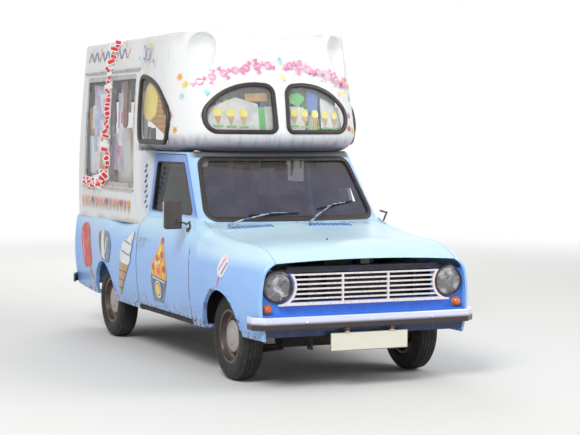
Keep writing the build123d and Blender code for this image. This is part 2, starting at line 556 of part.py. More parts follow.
def build_upper_body():
    outer = upper_form(0)
    top_edges = [e for e in outer.faces().sort_by(Axis.Z)[-1].edges()]
    outer = soften(outer, top_edges, (34, 24, 14)) - roof_trough(0) - ear_scoops(0)
    inner = upper_form(MOULDING_T) - block(-900, 900, -900, 2000, ROOF_Z - ROOF_DIP - MOULDING_T, 2300)
    inner = inner - ear_scoops(MOULDING_T - 4)
    shell = outer - inner

    # Pod over the cab, with its rolled lower edge
    pod_outer = outer & block(-900, 900, -900, POD_REAR_Y, POD_BOTTOM_Z, 2400)
    lip = [e for e in pod_outer.faces().sort_by(Axis.Z)[0].edges() if e.center().Y < POD_REAR_Y - 5]
    pod_outer = soften(pod_outer, lip, (POD_ROLL, 110, 90, 60, 30))
    pod_inner = inner & block(-900, 900, -900, POD_REAR_Y + 50, POD_BOTTOM_Z + MOULDING_T, 2400)
    lip = [e for e in pod_inner.faces().sort_by(Axis.Z)[0].edges() if e.center().Y < POD_REAR_Y + 45]
    pod_inner = soften(pod_inner, lip, (POD_ROLL - MOULDING_T, 80, 60, 30))
    pod = pod_outer - pod_inner
    cab_opening = block(-540, 540, -370, POD_REAR_Y + 50, 1300, POD_BOTTOM_Z + 60)
    front_windows = [prism_y(POD_WINDOW, -900, -300, POD_WINDOW_RADII)]
    front_windows.append(mirrored(front_windows[0]))
    side_windows = [prism_x(SIDE_WINDOW, -900, -500, SIDE_WINDOW_RADII)]
    side_windows.append(mirrored(side_windows[0]))
    windows = front_windows + side_windows
    pod = pod - cab_opening
    for hole in windows:
        pod = pod - hole
    save("pod", pod.solids().sort_by(SortBy.VOLUME)[-1])
    glass_wall = upper_form(10) - upper_form(10 + GLASS_T)
    save("pod_glass", Compound(children=[s for hole in windows for s in (glass_wall & hole).solids()]))

    # Sides with the serving windows
    column = block(-900, -560, BODY_FRONT_Y, POD_REAR_Y, WAIST_Z, POD_BOTTOM_Z)
    side_zone = column + block(-900, -560, POD_REAR_Y, 1726, WAIST_Z, FASCIA_Z)
    opening = prism_x([(SERVE_FRONT_Y, SHELF_Z), (SERVE_REAR_Y, SHELF_Z), (SERVE_REAR_Y - 25, SERVE_TOP_Z),
                       (SERVE_FRONT_Y + 25, SERVE_TOP_Z)], -900, -500, 30)
    side = (shell & side_zone) - opening
    # The column's front face, turned in behind the cab door
    side = side + (outer & block(-900, -560, BODY_FRONT_Y, BODY_FRONT_Y + MOULDING_T, WAIST_Z, POD_BOTTOM_Z))
    save_pair("side_moulding", side.solids().sort_by(SortBy.VOLUME)[-1])
    roof = shell & block(-900, 900, POD_REAR_Y, 2000, FASCIA_Z, 2400)
    save("roof_moulding", roof.solids().sort_by(SortBy.VOLUME)[-1])
    rear_opening = prism_y([(-430, 1230), (430, 1230), (410, 1790), (-410, 1790)], 1700, 1900, 40)
    rear = (shell & block(-900, 900, 1726, 2000, WAIST_Z, FASCIA_Z)) - rear_opening
    save("rear_moulding", rear.solids().sort_by(SortBy.VOLUME)[-1])

    # Serving window frames: a surround, a centre post and a low rail, with two panes behind them
    ring_wall = upper_form(2) - upper_form(MOULDING_T - 4)
    pane_wall = upper_form(11) - upper_form(11 + GLASS_T)
    pane_length = (SERVE_REAR_Y - SERVE_FRONT_Y - 4 * FRAME_W + 10) / 2
    frames, panes = [], []
    shelf_zone = opening & block(-900, -500, SERVE_FRONT_Y, SERVE_REAR_Y, SHELF_Z, SERVE_TOP_Z)
    frame = ring_wall & shelf_zone
    for index in range(2):
        y0 = SERVE_FRONT_Y + 1.35 * FRAME_W + index * (pane_length + FRAME_W)
        hole = block(-900, -500, y0, y0 + pane_length - 8, SHELF_Z + FRAME_W, SERVE_TOP_Z - FRAME_W)
        frame = frame - hole
        panes.append(pane_wall & hole)
    gutter = (upper_form(-16) - upper_form(0)) & block(-900, -500, SERVE_FRONT_Y - 60, SERVE_REAR_Y + 30,
                                                       1972, FASCIA_Z)
    sill = (upper_form(-SILL_REACH) - upper_form(0)) & block(-900, -500, SERVE_FRONT_Y, SERVE_REAR_Y,
                                                             SHELF_Z - SILL_DROP, SHELF_Z - 6)
    frames = frame.solids() + gutter.solids() + sill.solids()
    # The kerb side's serving shelf, on three brackets under the sill
    shelf = block(600, SHELF_EDGE_X, SERVE_FRONT_Y, SERVE_REAR_Y, SHELF_Z - SILL_DROP - 12, SHELF_Z - SILL_DROP)
    turned_up = block(SHELF_EDGE_X - 4, SHELF_EDGE_X, SERVE_FRONT_Y, SERVE_REAR_Y, SHELF_Z - SILL_DROP,
                      SHELF_Z + 6)
    shelf = shelf + turned_up
    for y in (SERVE_FRONT_Y + 60, (SERVE_FRONT_Y + SERVE_REAR_Y) / 2, SERVE_REAR_Y - 60):
        low_z = SHELF_Z - SILL_DROP - 6
        shelf = shelf + prism_y([(650, low_z), (SHELF_EDGE_X - 30, low_z), (650, low_z - 190)], y - 4, y + 4)
    shelf = (shelf - outer).solids().sort_by(SortBy.VOLUME)[-1]
    save("serving_frames", Compound(children=frames + [mirrored(s) for s in frames] + [shelf]))
    panes = [s for pane in panes for s in pane.solids()]
    rear_glass = (upper_form(10) - upper_form(16)) & rear_opening
    save("body_glass", Compound(children=panes + [mirrored(s) for s in panes] + rear_glass.solids()))


# Road wheels as profiles turned about the axle: columns are distance out along the axle, radius
TYRE_PROFILE = [(-50, 158), (-60, 168), (-71, 196), (-71, 236), (-52, TYRE_R - 5), (-30, TYRE_R),
                (30, TYRE_R), (52, TYRE_R - 5), (71, 236), (71, 196), (60, 168), (50, 158)]
RIM_PROFILE = [(-60, 150), (-60, 168), (-50, 158), (50, 158), (60, 168), (60, 150),
               (52, 146), (26, 142), (14, 128), (24, 104), (8, 92), (8, 22), (-2, 22), (-2, 98), (2, 126),
               (-6, 140), (-50, 148)]
HUBCAP_PROFILE = [(16, 106), (30, 104), (38, 98), (44, 84), (46, 60), (52, 52), (55, 30), (56, 0), (50, 0),
                  (46, 44), (40, 58), (38, 80), (30, 92), (14, 98)]
WHEEL_SLOTS = 12


def turned(profile):
    plane = Plane(origin=(0, 0, 0), x_dir=(-1, 0, 0), z_dir=(0, -1, 0))
    return revolve(plane * make_face(Polyline(*profile, close=True)), Axis.X)


def build_wheels():
    tyre = turned(TYRE_PROFILE)
    rim = turned(RIM_PROFILE)
    for index in range(WHEEL_SLOTS):
        turn = Rot(index * 360 / WHEEL_SLOTS, 0, 0)
        rim = rim - turn * (Pos(-10, 0, 116) * Box(50, 22, 12))
    rim = rim + turned(HUBCAP_PROFILE)
    for end, y, x in (("front", FRONT_AXLE_Y, FRONT_WHEEL_X), ("rear", REAR_AXLE_Y, REAR_WHEEL_X)):
        save_pair("tyre_" + end, Pos(-x, y, HUB_Z) * tyre)
        save_pair("wheel_" + end, Pos(-x, y, HUB_Z) * rim)


RAIL_IN_X = 265.0
SPRING_REACH = 560.0
SPRING_END_Z = HUB_Z + 62
EXHAUST_Z = 200.0
TOW_EYE_X, TOW_EYE_R = -318.0, 14.0
TOW_EYES = ((-1724.0, 258.0), (1780.0, 284.0))


def build_running_gear():
    build_wheels()
    # Knuckles: an upright on the kingpin, a stub axle into the hub and a steering arm
    y = FRONT_AXLE_Y
    upright = rod_z(20, HUB_Z - 92, HUB_Z + 92, -KINGPIN_X, y)
    stub = rod_x(21, -FRONT_WHEEL_X - 6, -KINGPIN_X, y, HUB_Z)
    drum = rod_x(102, -FRONT_WHEEL_X + 8, -FRONT_WHEEL_X + 54, y, HUB_Z)
    arm = rod(11, (-KINGPIN_X, y, HUB_Z - 60), (-KINGPIN_X + 30, y + 120, HUB_Z - 60))
    save_pair("knuckle", upright + stub + drum + arm)
    # Front suspension: crossmember, two pairs of wishbones ending in forks round the upright
    beam = prism_x([(y - 60, 205), (y + 60, 205), (y + 60, 275), (y - 60, 275)], -330, 330, 12)
    towers = [block(side * 315, side * 350, y - 50, y + 50, 240, 400) for side in (-1, 1)]
    pieces = beam
    for tower in towers:
        pieces = pieces + tower
    for side in (-1, 1):
        for z in (HUB_Z - 105, HUB_Z + 105):
            tip = (side * KINGPIN_X, y, z)
            for reach in (-95, 95):
                pieces = pieces + rod(10, (side * 315, y + reach * 0.45, z + (18 if z < HUB_Z else 0)), tip)
            pieces = pieces + rod_z(18, z - 12, z + 12, *tip[:2])
    spring = block(-440, 440, y - 30, y + 30, 188, 206)
    save("front_suspension", pieces + spring)
    # Rear axle with its brake drums, differential and leaf springs
    y = REAR_AXLE_Y
    axle = rod_x(34, -540, 540, y, HUB_Z) + Pos(0, y, HUB_Z) * Sphere(112)
    axle = axle + rod_y(44, y - 190, y, 0, HUB_Z)
    for side in (-1, 1):
        axle = axle + rod_x(102, side * 535, side * (REAR_WHEEL_X - 8), y, HUB_Z)
        axle = axle + rod_x(21, side * 600, side * (REAR_WHEEL_X + 6), y, HUB_Z)
        front, back, top = y - SPRING_REACH, y + SPRING_REACH, SPRING_END_Z
        leaf = ThreePointArc((front, top), (y, HUB_Z - 48), (back, top))
        under = ThreePointArc((back, top - 14), (y, HUB_Z - 76), (front, top - 14))
        ends = Line((back, top), (back, top - 14)) + Line((front, top - 14), (front, top))
        plane = Plane(origin=(side * 400 - 25, 0, 0), x_dir=(0, 1, 0), z_dir=(1, 0, 0))
        axle = axle + extrude(plane * make_face(leaf + under + ends), amount=50, dir=(1, 0, 0))
        axle = axle + block(side * 400 - 32, side * 400 + 32, y - 45, y + 45, HUB_Z - 80, HUB_Z + 36)
    save("rear_axle", axle)
    # Chassis rails with a drilled towing eye at each end, and hangers for the rear springs
    frame = block(-290, 290, -1810, -1775, 310, 345) + block(-290, 290, 1500, 1540, 350, LOAD_FLOOR_Z - 24)
    frame = frame + block(-290, 290, -720, -680, 240, 266)
    for side in (-1, 1):
        x = side * (RAIL_IN_X + 25)
        frame = frame + block(x - 25, x + 25, -1760, FIREWALL_Y, 300, 352)
        frame = frame + block(x - 25, x + 25, -1832, -1760, 320, 352)
        frame = frame + block(x - 25, x + 25, FIREWALL_Y - 60, FIREWALL_Y, 240, 352)
        frame = frame + block(x - 25, x + 25, FIREWALL_Y - 60, 300, 240, FLOOR_Z)
        frame = frame + block(x - 25, x + 25, BODY_FRONT_Y, 300, 240, LOAD_FLOOR_Z - 24)
        frame = frame + block(x - 25, x + 25, BODY_FRONT_Y, TAIL_WALL_Y, 340, LOAD_FLOOR_Z - 24)
        for end in (-1, 1):
            at = REAR_AXLE_Y + end * SPRING_REACH
            hanger = block(side * 375, side * 425, at - end * 4, at - end * 34, SPRING_END_Z, LOAD_FLOOR_Z - 24)
            frame = frame + hanger + block(side * 290, side * 425, at - end * 4, at - end * 34, 372,
                                           LOAD_FLOOR_Z - 24)
    for y, z in TOW_EYES:
        plate = block(TOW_EYE_X - 6, TOW_EYE_X + 6, y - 30, y + 30, z - 30, z + 60)
        frame = frame + plate - rod_x(TOW_EYE_R, TOW_EYE_X - 20, TOW_EYE_X + 20, y, z)
    save("chassis_rails", frame.solids().sort_by(SortBy.VOLUME)[-1])
    # Engine and gearbox as one plain mass, propeller shaft, radiator, exhaust and fuel tank
    engine = block(-150, 150, -1560, -1020, 360, 800) + block(-110, 110, -1560, -1020, 290, 365)
    gearbox = rod_y(62, -1025, -560, 0, 345)
    arms = block(-RAIL_IN_X, RAIL_IN_X, -1320, -1270, 310, 345)
    pinion_y = REAR_AXLE_Y - 190
    shaft = rod(26, (0, -565, 345), (0, pinion_y + 2, HUB_Z)) - rod_y(44, pinion_y, REAR_AXLE_Y, 0, HUB_Z)
    save("engine_block", engine + arms + gearbox + shaft)
    core = block(-220, 220, -1745, -1705, 345, 690)
    fan = rod_y(140, -1650, -1640, 0, 560) + rod_y(25, -1660, -1560, 0, 560)
    feet = block(-220, -180, -1800, -1705, 345, 375) + block(180, 220, -1800, -1705, 345, 375)
    save("radiator", Compound(children=(core + feet).solids() + fan.solids()))
    pipe = rod_y(20, -900, TAIL_Y + 20, 190, EXHAUST_Z) + rod_y(60, 330, 760, 190, EXHAUST_Z)
    pipe = pipe + rod(20, (190, -900, EXHAUST_Z), (160, -1100, 330)) + Pos(190, -900, EXHAUST_Z) * Sphere(20)
    for y, top in ((-300, FLOOR_Z), (0, FLOOR_Z), (500, LOAD_FLOOR_Z - 24), (1700, LOAD_FLOOR_Z - 24)):
        pipe = pipe + block(186, 194, y - 12, y + 12, EXHAUST_Z + 10, top)
    save("exhaust", pipe - engine)
    tank = block(-240, 120, 1560, 1780, 250, LOAD_FLOOR_Z - 24)
    low_edges = [e for e in tank.edges() if e.center().Z < 380]
    save("fuel_tank", soften(tank, low_edges, (24, 12)))


WHEEL_CENTRE = (-330.0, -395.0, 905.0)


def build_cab_fittings():
    # Two seats on pedestals
    seats = []
    for x in (-330, 330):
        base = block(x - 190, x + 190, -330, 60, SILL_TOP_Z, 560)
        cushion = block(x - 230, x + 230, -370, 110, 560, 660)
        cushion = soften(cushion, cushion.edges(), (30, 20))
        back = prism_x([(60, 640), (130, 640), (215, 1110), (150, 1120)], x - 225, x + 225, 25)
        seats.append(base + cushion + back)
    save("seats", Compound(children=[s for seat in seats for s in seat.solids()]))
    # Dashboard with an instrument hood, and the steering column
    rear_of_wall = DOOR_FRONT_Y - GAP
    face = prism_x([(rear_of_wall, 700), (-690, 690), (-640, 760), (-640, 880), (-700, 905),
                    (rear_of_wall, 905)], -600, 600, [1, 14, 14, 14, 14, 1])
    hood = prism_x([(-690, 860), (-610, 850), (-600, 930), (-680, 935)], -470, -190, 14)
    centre = Vector(*WHEEL_CENTRE)
    along = Vector(0, -0.88, -0.475)
    start = centre + along * 14
    end = centre + along * 270
    column = rod(24, tuple(start), tuple(end))
    save("dashboard", face + hood + column)
    plane = Plane(origin=WHEEL_CENTRE, x_dir=(1, 0, 0), z_dir=(0, 0.88, 0.475))
    rim = plane * Torus(188, 11)
    hub = plane * Cylinder(34, 26)
    spokes = plane * (Box(370, 22, 9) + Box(22, 370, 9))
    save("steering_wheel", rim + hub + spokes)


# Display cones, and the whirl's profile as distance from its axis and height from its middle
DISPLAY_TIP = (545.0, -200.0, 1520.0)
DISPLAY_MOUTH = (545.0, 172.0, 1739.0)
DISPLAY_TIP_R, DISPLAY_MOUTH_R = 12.0, 80.0
DISPLAY_WHIRL = (545.0, 195.0, 1710.0)
WHIRL_PROFILE = [(0, -62), (58, -58), (90, -20), (96, 18), (84, 44), (88, 62), (80, 94), (65, 108), (68, 124),
                 (56, 154), (41, 166), (40, 180), (22, 206), (0, 224)]


def build_service_fittings():
    # Counters under both serving windows and a freezer across the back
    counters = []
    for side in (-1, 1):
        top = block(side * 420, side * 660, 620, 1640, 1030, 1060)
        carcass = block(side * 430, side * 600, 640, 1620, WHEEL_BOX_Z, 1030)
        counters.append(top + carcass)
    save("service_counters", Compound(children=[s for c in counters for s in c.solids()]))
    chest = block(-300, 300, 1350, 1780, LOAD_FLOOR_Z, 1160)
    lid = block(-310, 310, 1345, 1785, 1160, 1190)
    save("freezer", chest + lid)
    cabinet = block(-610, -420, 760, 1060, 1060, 1560)
    head = block(-560, -470, 700, 760, 1300, 1420)
    nozzle = rod_z(24, 1250, 1300, -515, 730)
    save("ice_cream_machine", cabinet + head + nozzle)
    # A big display cone lies tilted in each side window of the pod, with an upright whirl on it
    run = Vector(*DISPLAY_MOUTH) - Vector(*DISPLAY_TIP)
    lean = Plane(origin=DISPLAY_TIP, z_dir=run)
    cone = lean * (Pos(0, 0, run.length / 2) * Cone(DISPLAY_TIP_R, DISPLAY_MOUTH_R, run.length))
    upright = Plane(origin=DISPLAY_WHIRL, x_dir=(1, 0, 0), z_dir=(0, -1, 0))
    whirl = revolve(upright * make_face(Polyline(*WHIRL_PROFILE, close=True)), Axis(DISPLAY_WHIRL, (0, 0, 1)))
    stand_x = DISPLAY_TIP[0]
    shelf = block(stand_x - 75, stand_x + 23, -120, 80, POD_BOTTOM_Z + MOULDING_T, 1452)
    post = rod_z(14, 1450, 1600, stand_x, -40)
    display = cone + whirl + shelf + post
    save("display_cones", Compound(children=display.solids() + mirrored(display).solids()))


def build_all():
    os.makedirs("parts", exist_ok=True)
    build_doors()
    build_front()
    build_lamps_and_grille()
    build_bumpers_and_plates()
    build_structure()
    build_rear()
    build_upper_body()
    build_running_gear()
    build_cab_fittings()
    build_service_fittings()


build_all()
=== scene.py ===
# %% [markdown]
# # An old ice cream van, dressed for its picture
#
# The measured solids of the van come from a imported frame. This lesson gives them their finishes:
# chalky blue paint with rust, white moulded plastic with streaks of dirt, rubber, glass and dull
# chrome. It also adds what solids are too plain for, such as treaded tyres, rubber window seals,
# wipers, soft seats and painted pictures. Sizes are metres. The front is towards -Y, +Z is up, and
# the driver's side, the right, is -X.

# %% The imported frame
import json
import math
import random

import bmesh
import bpy
from mathutils import Matrix, Vector
from mathutils.bvhtree import BVHTree


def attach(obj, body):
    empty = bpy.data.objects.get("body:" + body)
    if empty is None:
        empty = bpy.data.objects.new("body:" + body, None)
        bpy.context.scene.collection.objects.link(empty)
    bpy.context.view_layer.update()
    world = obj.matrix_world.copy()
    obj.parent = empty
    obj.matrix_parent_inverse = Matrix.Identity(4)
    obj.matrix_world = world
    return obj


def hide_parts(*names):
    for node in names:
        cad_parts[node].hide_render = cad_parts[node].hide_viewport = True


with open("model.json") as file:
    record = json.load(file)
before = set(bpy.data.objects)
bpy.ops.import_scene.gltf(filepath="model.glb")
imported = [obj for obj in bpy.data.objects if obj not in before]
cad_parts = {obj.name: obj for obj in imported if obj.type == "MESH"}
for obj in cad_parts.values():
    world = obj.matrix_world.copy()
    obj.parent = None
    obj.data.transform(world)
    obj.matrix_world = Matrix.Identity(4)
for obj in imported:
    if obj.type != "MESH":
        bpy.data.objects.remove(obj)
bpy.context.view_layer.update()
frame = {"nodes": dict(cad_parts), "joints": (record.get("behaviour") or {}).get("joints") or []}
nodes = frame["nodes"]

# %% Where the wheels turn, and the two sides
joint_at = {joint["name"]: joint["pos_m"] for joint in frame["joints"]}
FRONT_AXLE_Y = joint_at["front_wheel_right_spin"][1]
REAR_AXLE_Y = joint_at["rear_wheel_right_spin"][1]
HUB_Z = joint_at["rear_wheel_right_spin"][2]
SIDES = (("right", -1), ("left", 1))
print("axles at", FRONT_AXLE_Y, "and", REAR_AXLE_Y, "hubs at", HUB_Z)

# %% [markdown]
# ## The camera
#
# A camera can be turned with angles or with a matrix. Here its yaw, pitch and roll were worked out
# from the photograph's straight edges, so a matrix of three directions is the surest way to set it.

# %% A camera where the photographer stood
EYE = Vector((-4.335, -10.337, 1.528))
YAW, PITCH, ROLL = (math.radians(angle) for angle in (24.26, -3.046, 0.248))
FOCAL_PIXELS = 1587.6
PICTURE_WIDTH_PIXELS = 580
SENSOR_MM = 36.0

ahead = Vector((math.sin(YAW) * math.cos(PITCH), math.cos(YAW) * math.cos(PITCH), math.sin(PITCH)))
level = Vector((math.cos(YAW), -math.sin(YAW), 0.0))
right = level * math.cos(ROLL) + level.cross(ahead) * math.sin(ROLL)
above = right.cross(ahead)
camera = bpy.data.objects.new("camera", bpy.data.cameras.new("camera"))
camera.data.sensor_width = SENSOR_MM
camera.data.lens = FOCAL_PIXELS / PICTURE_WIDTH_PIXELS * SENSOR_MM
camera.data.clip_end = 200.0
camera.matrix_world = Matrix.Translation(EYE) @ Matrix((right, above, -ahead)).transposed().to_4x4()
bpy.context.scene.collection.objects.link(camera)
bpy.context.scene.camera = camera
print("lens:", round(camera.data.lens, 2), "mm")

# %% [markdown]
# ## Colours and finishes
#
# A shader wants linear colours, while a picture holds screen colours, so `ink` turns one into the
# other. A `Finish` keeps one Principled shader and the patterns that feed it. `paint` lays a new
# colour over the old one where all its patterns say so, as a sign painter lays coat on coat. `scuff`
# does the same for roughness, and `relief` adds bumps. Every pattern reads Object coordinates, so
# dirt stays where the object has it when a door opens.


# %% Screen colours into shader colours
def ink(red, green, blue):
    def linear(value):
        value = value / 255
        return value / 12.92 if value <= 0.04045 else ((value + 0.055) / 1.055) ** 2.4

    return (linear(red), linear(green), linear(blue), 1.0)


# %% One shader node, its settings and what feeds it
def shader_node(tree, kind, feeds=None, **settings):
    node = tree.nodes.new("ShaderNode" + kind)
    for setting, value in settings.items():
        setattr(node, setting, value)
    for socket, value in (feeds or {}).items():
        if isinstance(value, bpy.types.NodeSocket):
            tree.links.new(value, node.inputs[socket])
        else:
            node.inputs[socket].default_value = value
    return node


# %% One finish
class Finish:
    COAT_ROUGHNESS = 0.12
    NOISE_ROUGHNESS = 0.6
    RING_EDGE = 0.3

    def __init__(self, name, colour, roughness, metallic=0.0, coat=0.0, alpha=1.0, specular=0.5):
        self.material = bpy.data.materials.new(name)
        self.material.use_nodes = True
        self.tree = self.material.node_tree
        self.shader = self.tree.nodes["Principled BSDF"]
        self.colour, self.roughness, self.bump, self.spots = ink(*colour), roughness, None, None
        start = {"Base Color": self.colour, "Roughness": roughness, "Metallic": metallic,
                 "Coat Weight": coat, "Coat Roughness": self.COAT_ROUGHNESS, "Alpha": alpha,
                 "Specular IOR Level": specular}
        for socket, value in start.items():
            self.shader.inputs[socket].default_value = value

    def node(self, kind, feeds=None, **settings):
        return shader_node(self.tree, kind, feeds, **settings)

    # Places and sums

    def spot(self, axis=None):
        if self.spots is None:
            place = self.node("TexCoord").outputs["Object"]
            self.spots = (place, self.node("SeparateXYZ", {0: place}))
        return self.spots[0] if axis is None else self.spots[1].outputs[axis]

    def reckon(self, operation, first, second=0.0):
        return self.node("Math", {0: first, 1: second}, operation=operation).outputs[0]

    def times(self, *patterns):
        made = patterns[0]
        for pattern in patterns[1:]:
            made = self.reckon("MULTIPLY", made, pattern)
        return made

    def most(self, *patterns):
        made = patterns[0]
        for pattern in patterns[1:]:
            made = self.reckon("MAXIMUM", made, pattern)
        return made

    def aside(self):
        return self.reckon("ABSOLUTE", self.spot("X"))

    def from_axle(self, axle_y):
        runs = [self.reckon("SUBTRACT", self.spot(axis), middle)
                for axis, middle in (("Y", axle_y), ("Z", HUB_Z))]
        squares = [self.reckon("MULTIPLY", run, run) for run in runs]
        return self.reckon("SQRT", self.reckon("ADD", *squares))

    # Patterns, from 0 for nothing to 1 for the full effect

    def ramp(self, value, start, end):
        rising = float(start < end)
        feeds = {"Value": value, "From Min": min(start, end), "From Max": max(start, end),
                 "To Min": 1.0 - rising, "To Max": rising}
        return self.node("MapRange", feeds, interpolation_type="SMOOTHSTEP").outputs["Result"]

    def fade(self, axis, start, end):
        return self.ramp(self.spot(axis), start, end)

    def band(self, axis, low, high, soft):
        return self.times(self.fade(axis, low - soft, low + soft), self.fade(axis, high + soft, high - soft))

    def ring(self, axle_y, radius, half_width):
        off = self.reckon("ABSOLUTE", self.reckon("SUBTRACT", self.from_axle(axle_y), radius))
        return self.ramp(off, half_width, half_width * self.RING_EDGE)

    def noise(self, scale, detail, stretch=None):
        place = self.spot()
        if stretch:
            place = self.node("Mapping", {"Vector": place, "Scale": stretch}).outputs[0]
        feeds = {"Vector": place, "Scale": scale, "Detail": detail, "Roughness": self.NOISE_ROUGHNESS}
        return self.node("TexNoise", feeds).outputs["Fac"]

    def patches(self, scale, detail, start, end, stretch=None):
        return self.ramp(self.noise(scale, detail, stretch), start, end)

    def pores(self, scale):
        return self.node("TexVoronoi", {"Vector": self.spot(), "Scale": scale}).outputs["Distance"]

    def stripes(self, axis, scale):
        feeds = {"Vector": self.spot(), "Scale": scale}
        return self.node("TexWave", feeds, bands_direction=axis).outputs["Fac"]

    # Coats: a Mix node has its factor at 0, numbers at 2 and 3, and colours at 6 and 7

    def paint(self, colour, *patterns):
        feeds = {0: self.times(*patterns), 6: self.colour, 7: ink(*colour)}
        self.colour = self.node("Mix", feeds, data_type="RGBA").outputs[2]
        self.tree.links.new(self.colour, self.shader.inputs["Base Color"])

    def scuff(self, roughness, *patterns):
        feeds = {0: self.times(*patterns), 2: self.roughness, 3: roughness}
        self.roughness = self.node("Mix", feeds).outputs[0]
        self.tree.links.new(self.roughness, self.shader.inputs["Roughness"])

    def relief(self, depth, strength, *patterns):
        feeds = {"Distance": depth, "Strength": strength, "Height": self.times(*patterns)}
        if self.bump is not None:
            feeds["Normal"] = self.bump
        self.bump = self.node("Bump", feeds).outputs["Normal"]
        self.tree.links.new(self.bump, self.shader.inputs["Normal"])


# %% A finish on solids of the frame
def dress(finish, *names):
    for name in names:
        nodes[name].data.materials.clear()
        nodes[name].data.materials.append(finish.material)
    print(finish.material.name, "on", ", ".join(names))


def pair(name):
    return name + "_right", name + "_left"


# %% [markdown]
# ## The blue paint
#
# Old paint isn't one colour. The bonnet and shoulders are paler, partly bleached by sun and partly a painted
# highlight where the sun falls, road dirt darkens the sills, stones have chipped the edges, and rust has
# crept along the wheel arches, the door's front edge and the foot of the windscreen. Each of these is one
# pattern, laid over the last. A photograph used as an image would fix its light and its angle, while patterns
# hold from every side.

# %% Blues, browns and the heights where they change
SKY_BLUE, DEEPER_BLUE = (146, 190, 248), (128, 172, 238)
BLEACHED_AND_SUNLIT, CHALK_AND_HIGHLIGHT = (190, 228, 250), (220, 246, 252)
RUST, SEAM_RUST, DARK_RUST = (112, 58, 32), (124, 66, 44), (62, 36, 26)
ROAD_DIRT, CHIPPED = (96, 96, 104), (70, 80, 96)
HEADER_SHADE_UNDER_POD, BAY_SHADE_BLACK = (92, 92, 88), (24, 28, 40)
WAIST_Z, GLASS_FOOT_Z, PILLAR_Z = 0.70, 0.955, 1.00
DOOR_EDGE_Y = -0.793


# %% Sun, dirt and shade on the blue
def weather(paint, pillar_blue_painted_light):
    cloud = paint.noise(1.6, 5)
    forward = paint.fade("Y", -0.86, -0.98)
    # Partly sun bleaching and partly a painted highlight: the shoulders are paler.
    paint.paint(BLEACHED_AND_SUNLIT, paint.fade("Z", WAIST_Z, 0.93), paint.fade("Z", PILLAR_Z, GLASS_FOOT_Z),
                paint.ramp(cloud, 0.1, 0.55))
    # Partly chalky paint and partly a painted highlight: the top of the bonnet is paler still.
    paint.paint(CHALK_AND_HIGHLIGHT, paint.fade("Z", WAIST_Z, 0.80), forward, 0.62)
    # Above the foot of the glass the pillars take the blue given to blue_paint, which is painted light:
    # sunlit on the cab, shaded on the doors.
    paint.paint(pillar_blue_painted_light, paint.fade("Z", GLASS_FOOT_Z, PILLAR_Z))
    paint.paint(DEEPER_BLUE, paint.ramp(cloud, 0.48, 0.72), 0.28)
    # Painted shade: the header above the screen is darkened grey where the pod overhangs it.
    paint.paint(HEADER_SHADE_UNDER_POD, paint.fade("Z", 1.352, 1.368), paint.ramp(paint.aside(), 0.600, 0.550), 0.92)
    # Painted shade: near-black inside the engine bay below the bonnet. The bonnet catch gets the same
    # near-black.
    engine_bay_shade = paint.times(paint.fade("Z", 0.735, 0.722), paint.ramp(paint.aside(), 0.604, 0.600), forward)
    bonnet_catch = paint.times(paint.fade("Z", 0.783, 0.779), paint.ramp(paint.aside(), 0.034, 0.031),
                               paint.band("Y", -1.826, -1.800, 0.001))
    paint.paint(BAY_SHADE_BLACK, paint.most(engine_bay_shade, bonnet_catch))
    paint.paint(ROAD_DIRT, paint.fade("Z", 0.50, 0.30), paint.patches(38, 6, 0.35, 0.75), 0.75)
    paint.paint(CHIPPED, paint.patches(120, 3, 0.72, 0.79), 0.4)


# %% Rust on the blue
def rust(paint):
    fine = paint.noise(38, 6)
    low_edge = paint.fade("Z", 0.352, 0.325)
    arches = paint.most(paint.ring(FRONT_AXLE_Y, 0.298, 0.012), paint.ring(REAR_AXLE_Y, 0.302, 0.010))
    edges = paint.times(paint.most(low_edge, arches), paint.patches(26, 8, 0.53, 0.60))
    seam = paint.times(paint.band("Y", DOOR_EDGE_Y - 0.010, DOOR_EDGE_Y + 0.003, 0.004),
                       paint.band("Z", 0.34, 0.79, 0.03), paint.ramp(paint.aside(), 0.60, 0.66))
    screen_foot = paint.times(paint.band("Y", -0.905, -0.855, 0.01), paint.band("Z", 0.925, 0.966, 0.006),
                              paint.patches(9, 6, 0.50, 0.60))
    spread = paint.most(edges, paint.times(screen_foot, 0.75))
    paint.paint(RUST, spread, 0.85)
    paint.paint(SEAM_RUST, seam, paint.patches(20, 6, 0.36, 0.5))
    paint.paint(DARK_RUST, edges, paint.ramp(fine, 0.5, 0.6), 0.8)
    paint.scuff(0.8, paint.most(spread, seam))
    paint.relief(0.0012, 0.6, edges, fine)


# %% Body paint, and door paint with painted shade on its frames and along its gap
def blue_paint(name, pillar_blue_painted_light):
    paint = Finish(name, SKY_BLUE, 0.3, coat=0.25)
    weather(paint, pillar_blue_painted_light)
    rust(paint)
    paint.scuff(0.44, paint.patches(1.6, 5, 0.3, 0.7), 0.6)
    paint.relief(0.004, 0.12, paint.noise(5, 2))
    return paint


# The cab's pillars take a pale blue, their sunlit colour painted in as a highlight.
body_paint = blue_paint("sky_blue_paint", (172, 208, 244))
dress(body_paint, "cab_frame", "rear_panel", "bonnet", *pair("front_wing"), *pair("rear_quarter"),
      *pair("rear_door"))
# The door frames take a darker blue than the cab's pillars, as painted shade.
door_paint = blue_paint("door_blue_paint", (112, 152, 226))
# A dark line along the door's rear and lower edges is painted shade in the gap.
rear_gap_shade, low_gap_shade = door_paint.band("Y", 0.242, 0.256, 0.001), door_paint.band("Z", 0.318, 0.329, 0.001)
door_paint.paint((50, 52, 72), door_paint.most(rear_gap_shade, low_gap_shade))
dress(door_paint, *pair("door"))

# %% [markdown]
# The recessed panel round the lamps is a deeper blue. Behind and below the bumper it is painted near-black,
# partly dirt and partly painted shade, and at its top it is painted dark for the bonnet's shade, so its two
# dark parts are bands of height.

# %% Nose paint
nose_paint = Finish("nose_blue_paint", (70, 138, 240), 0.35, coat=0.2)
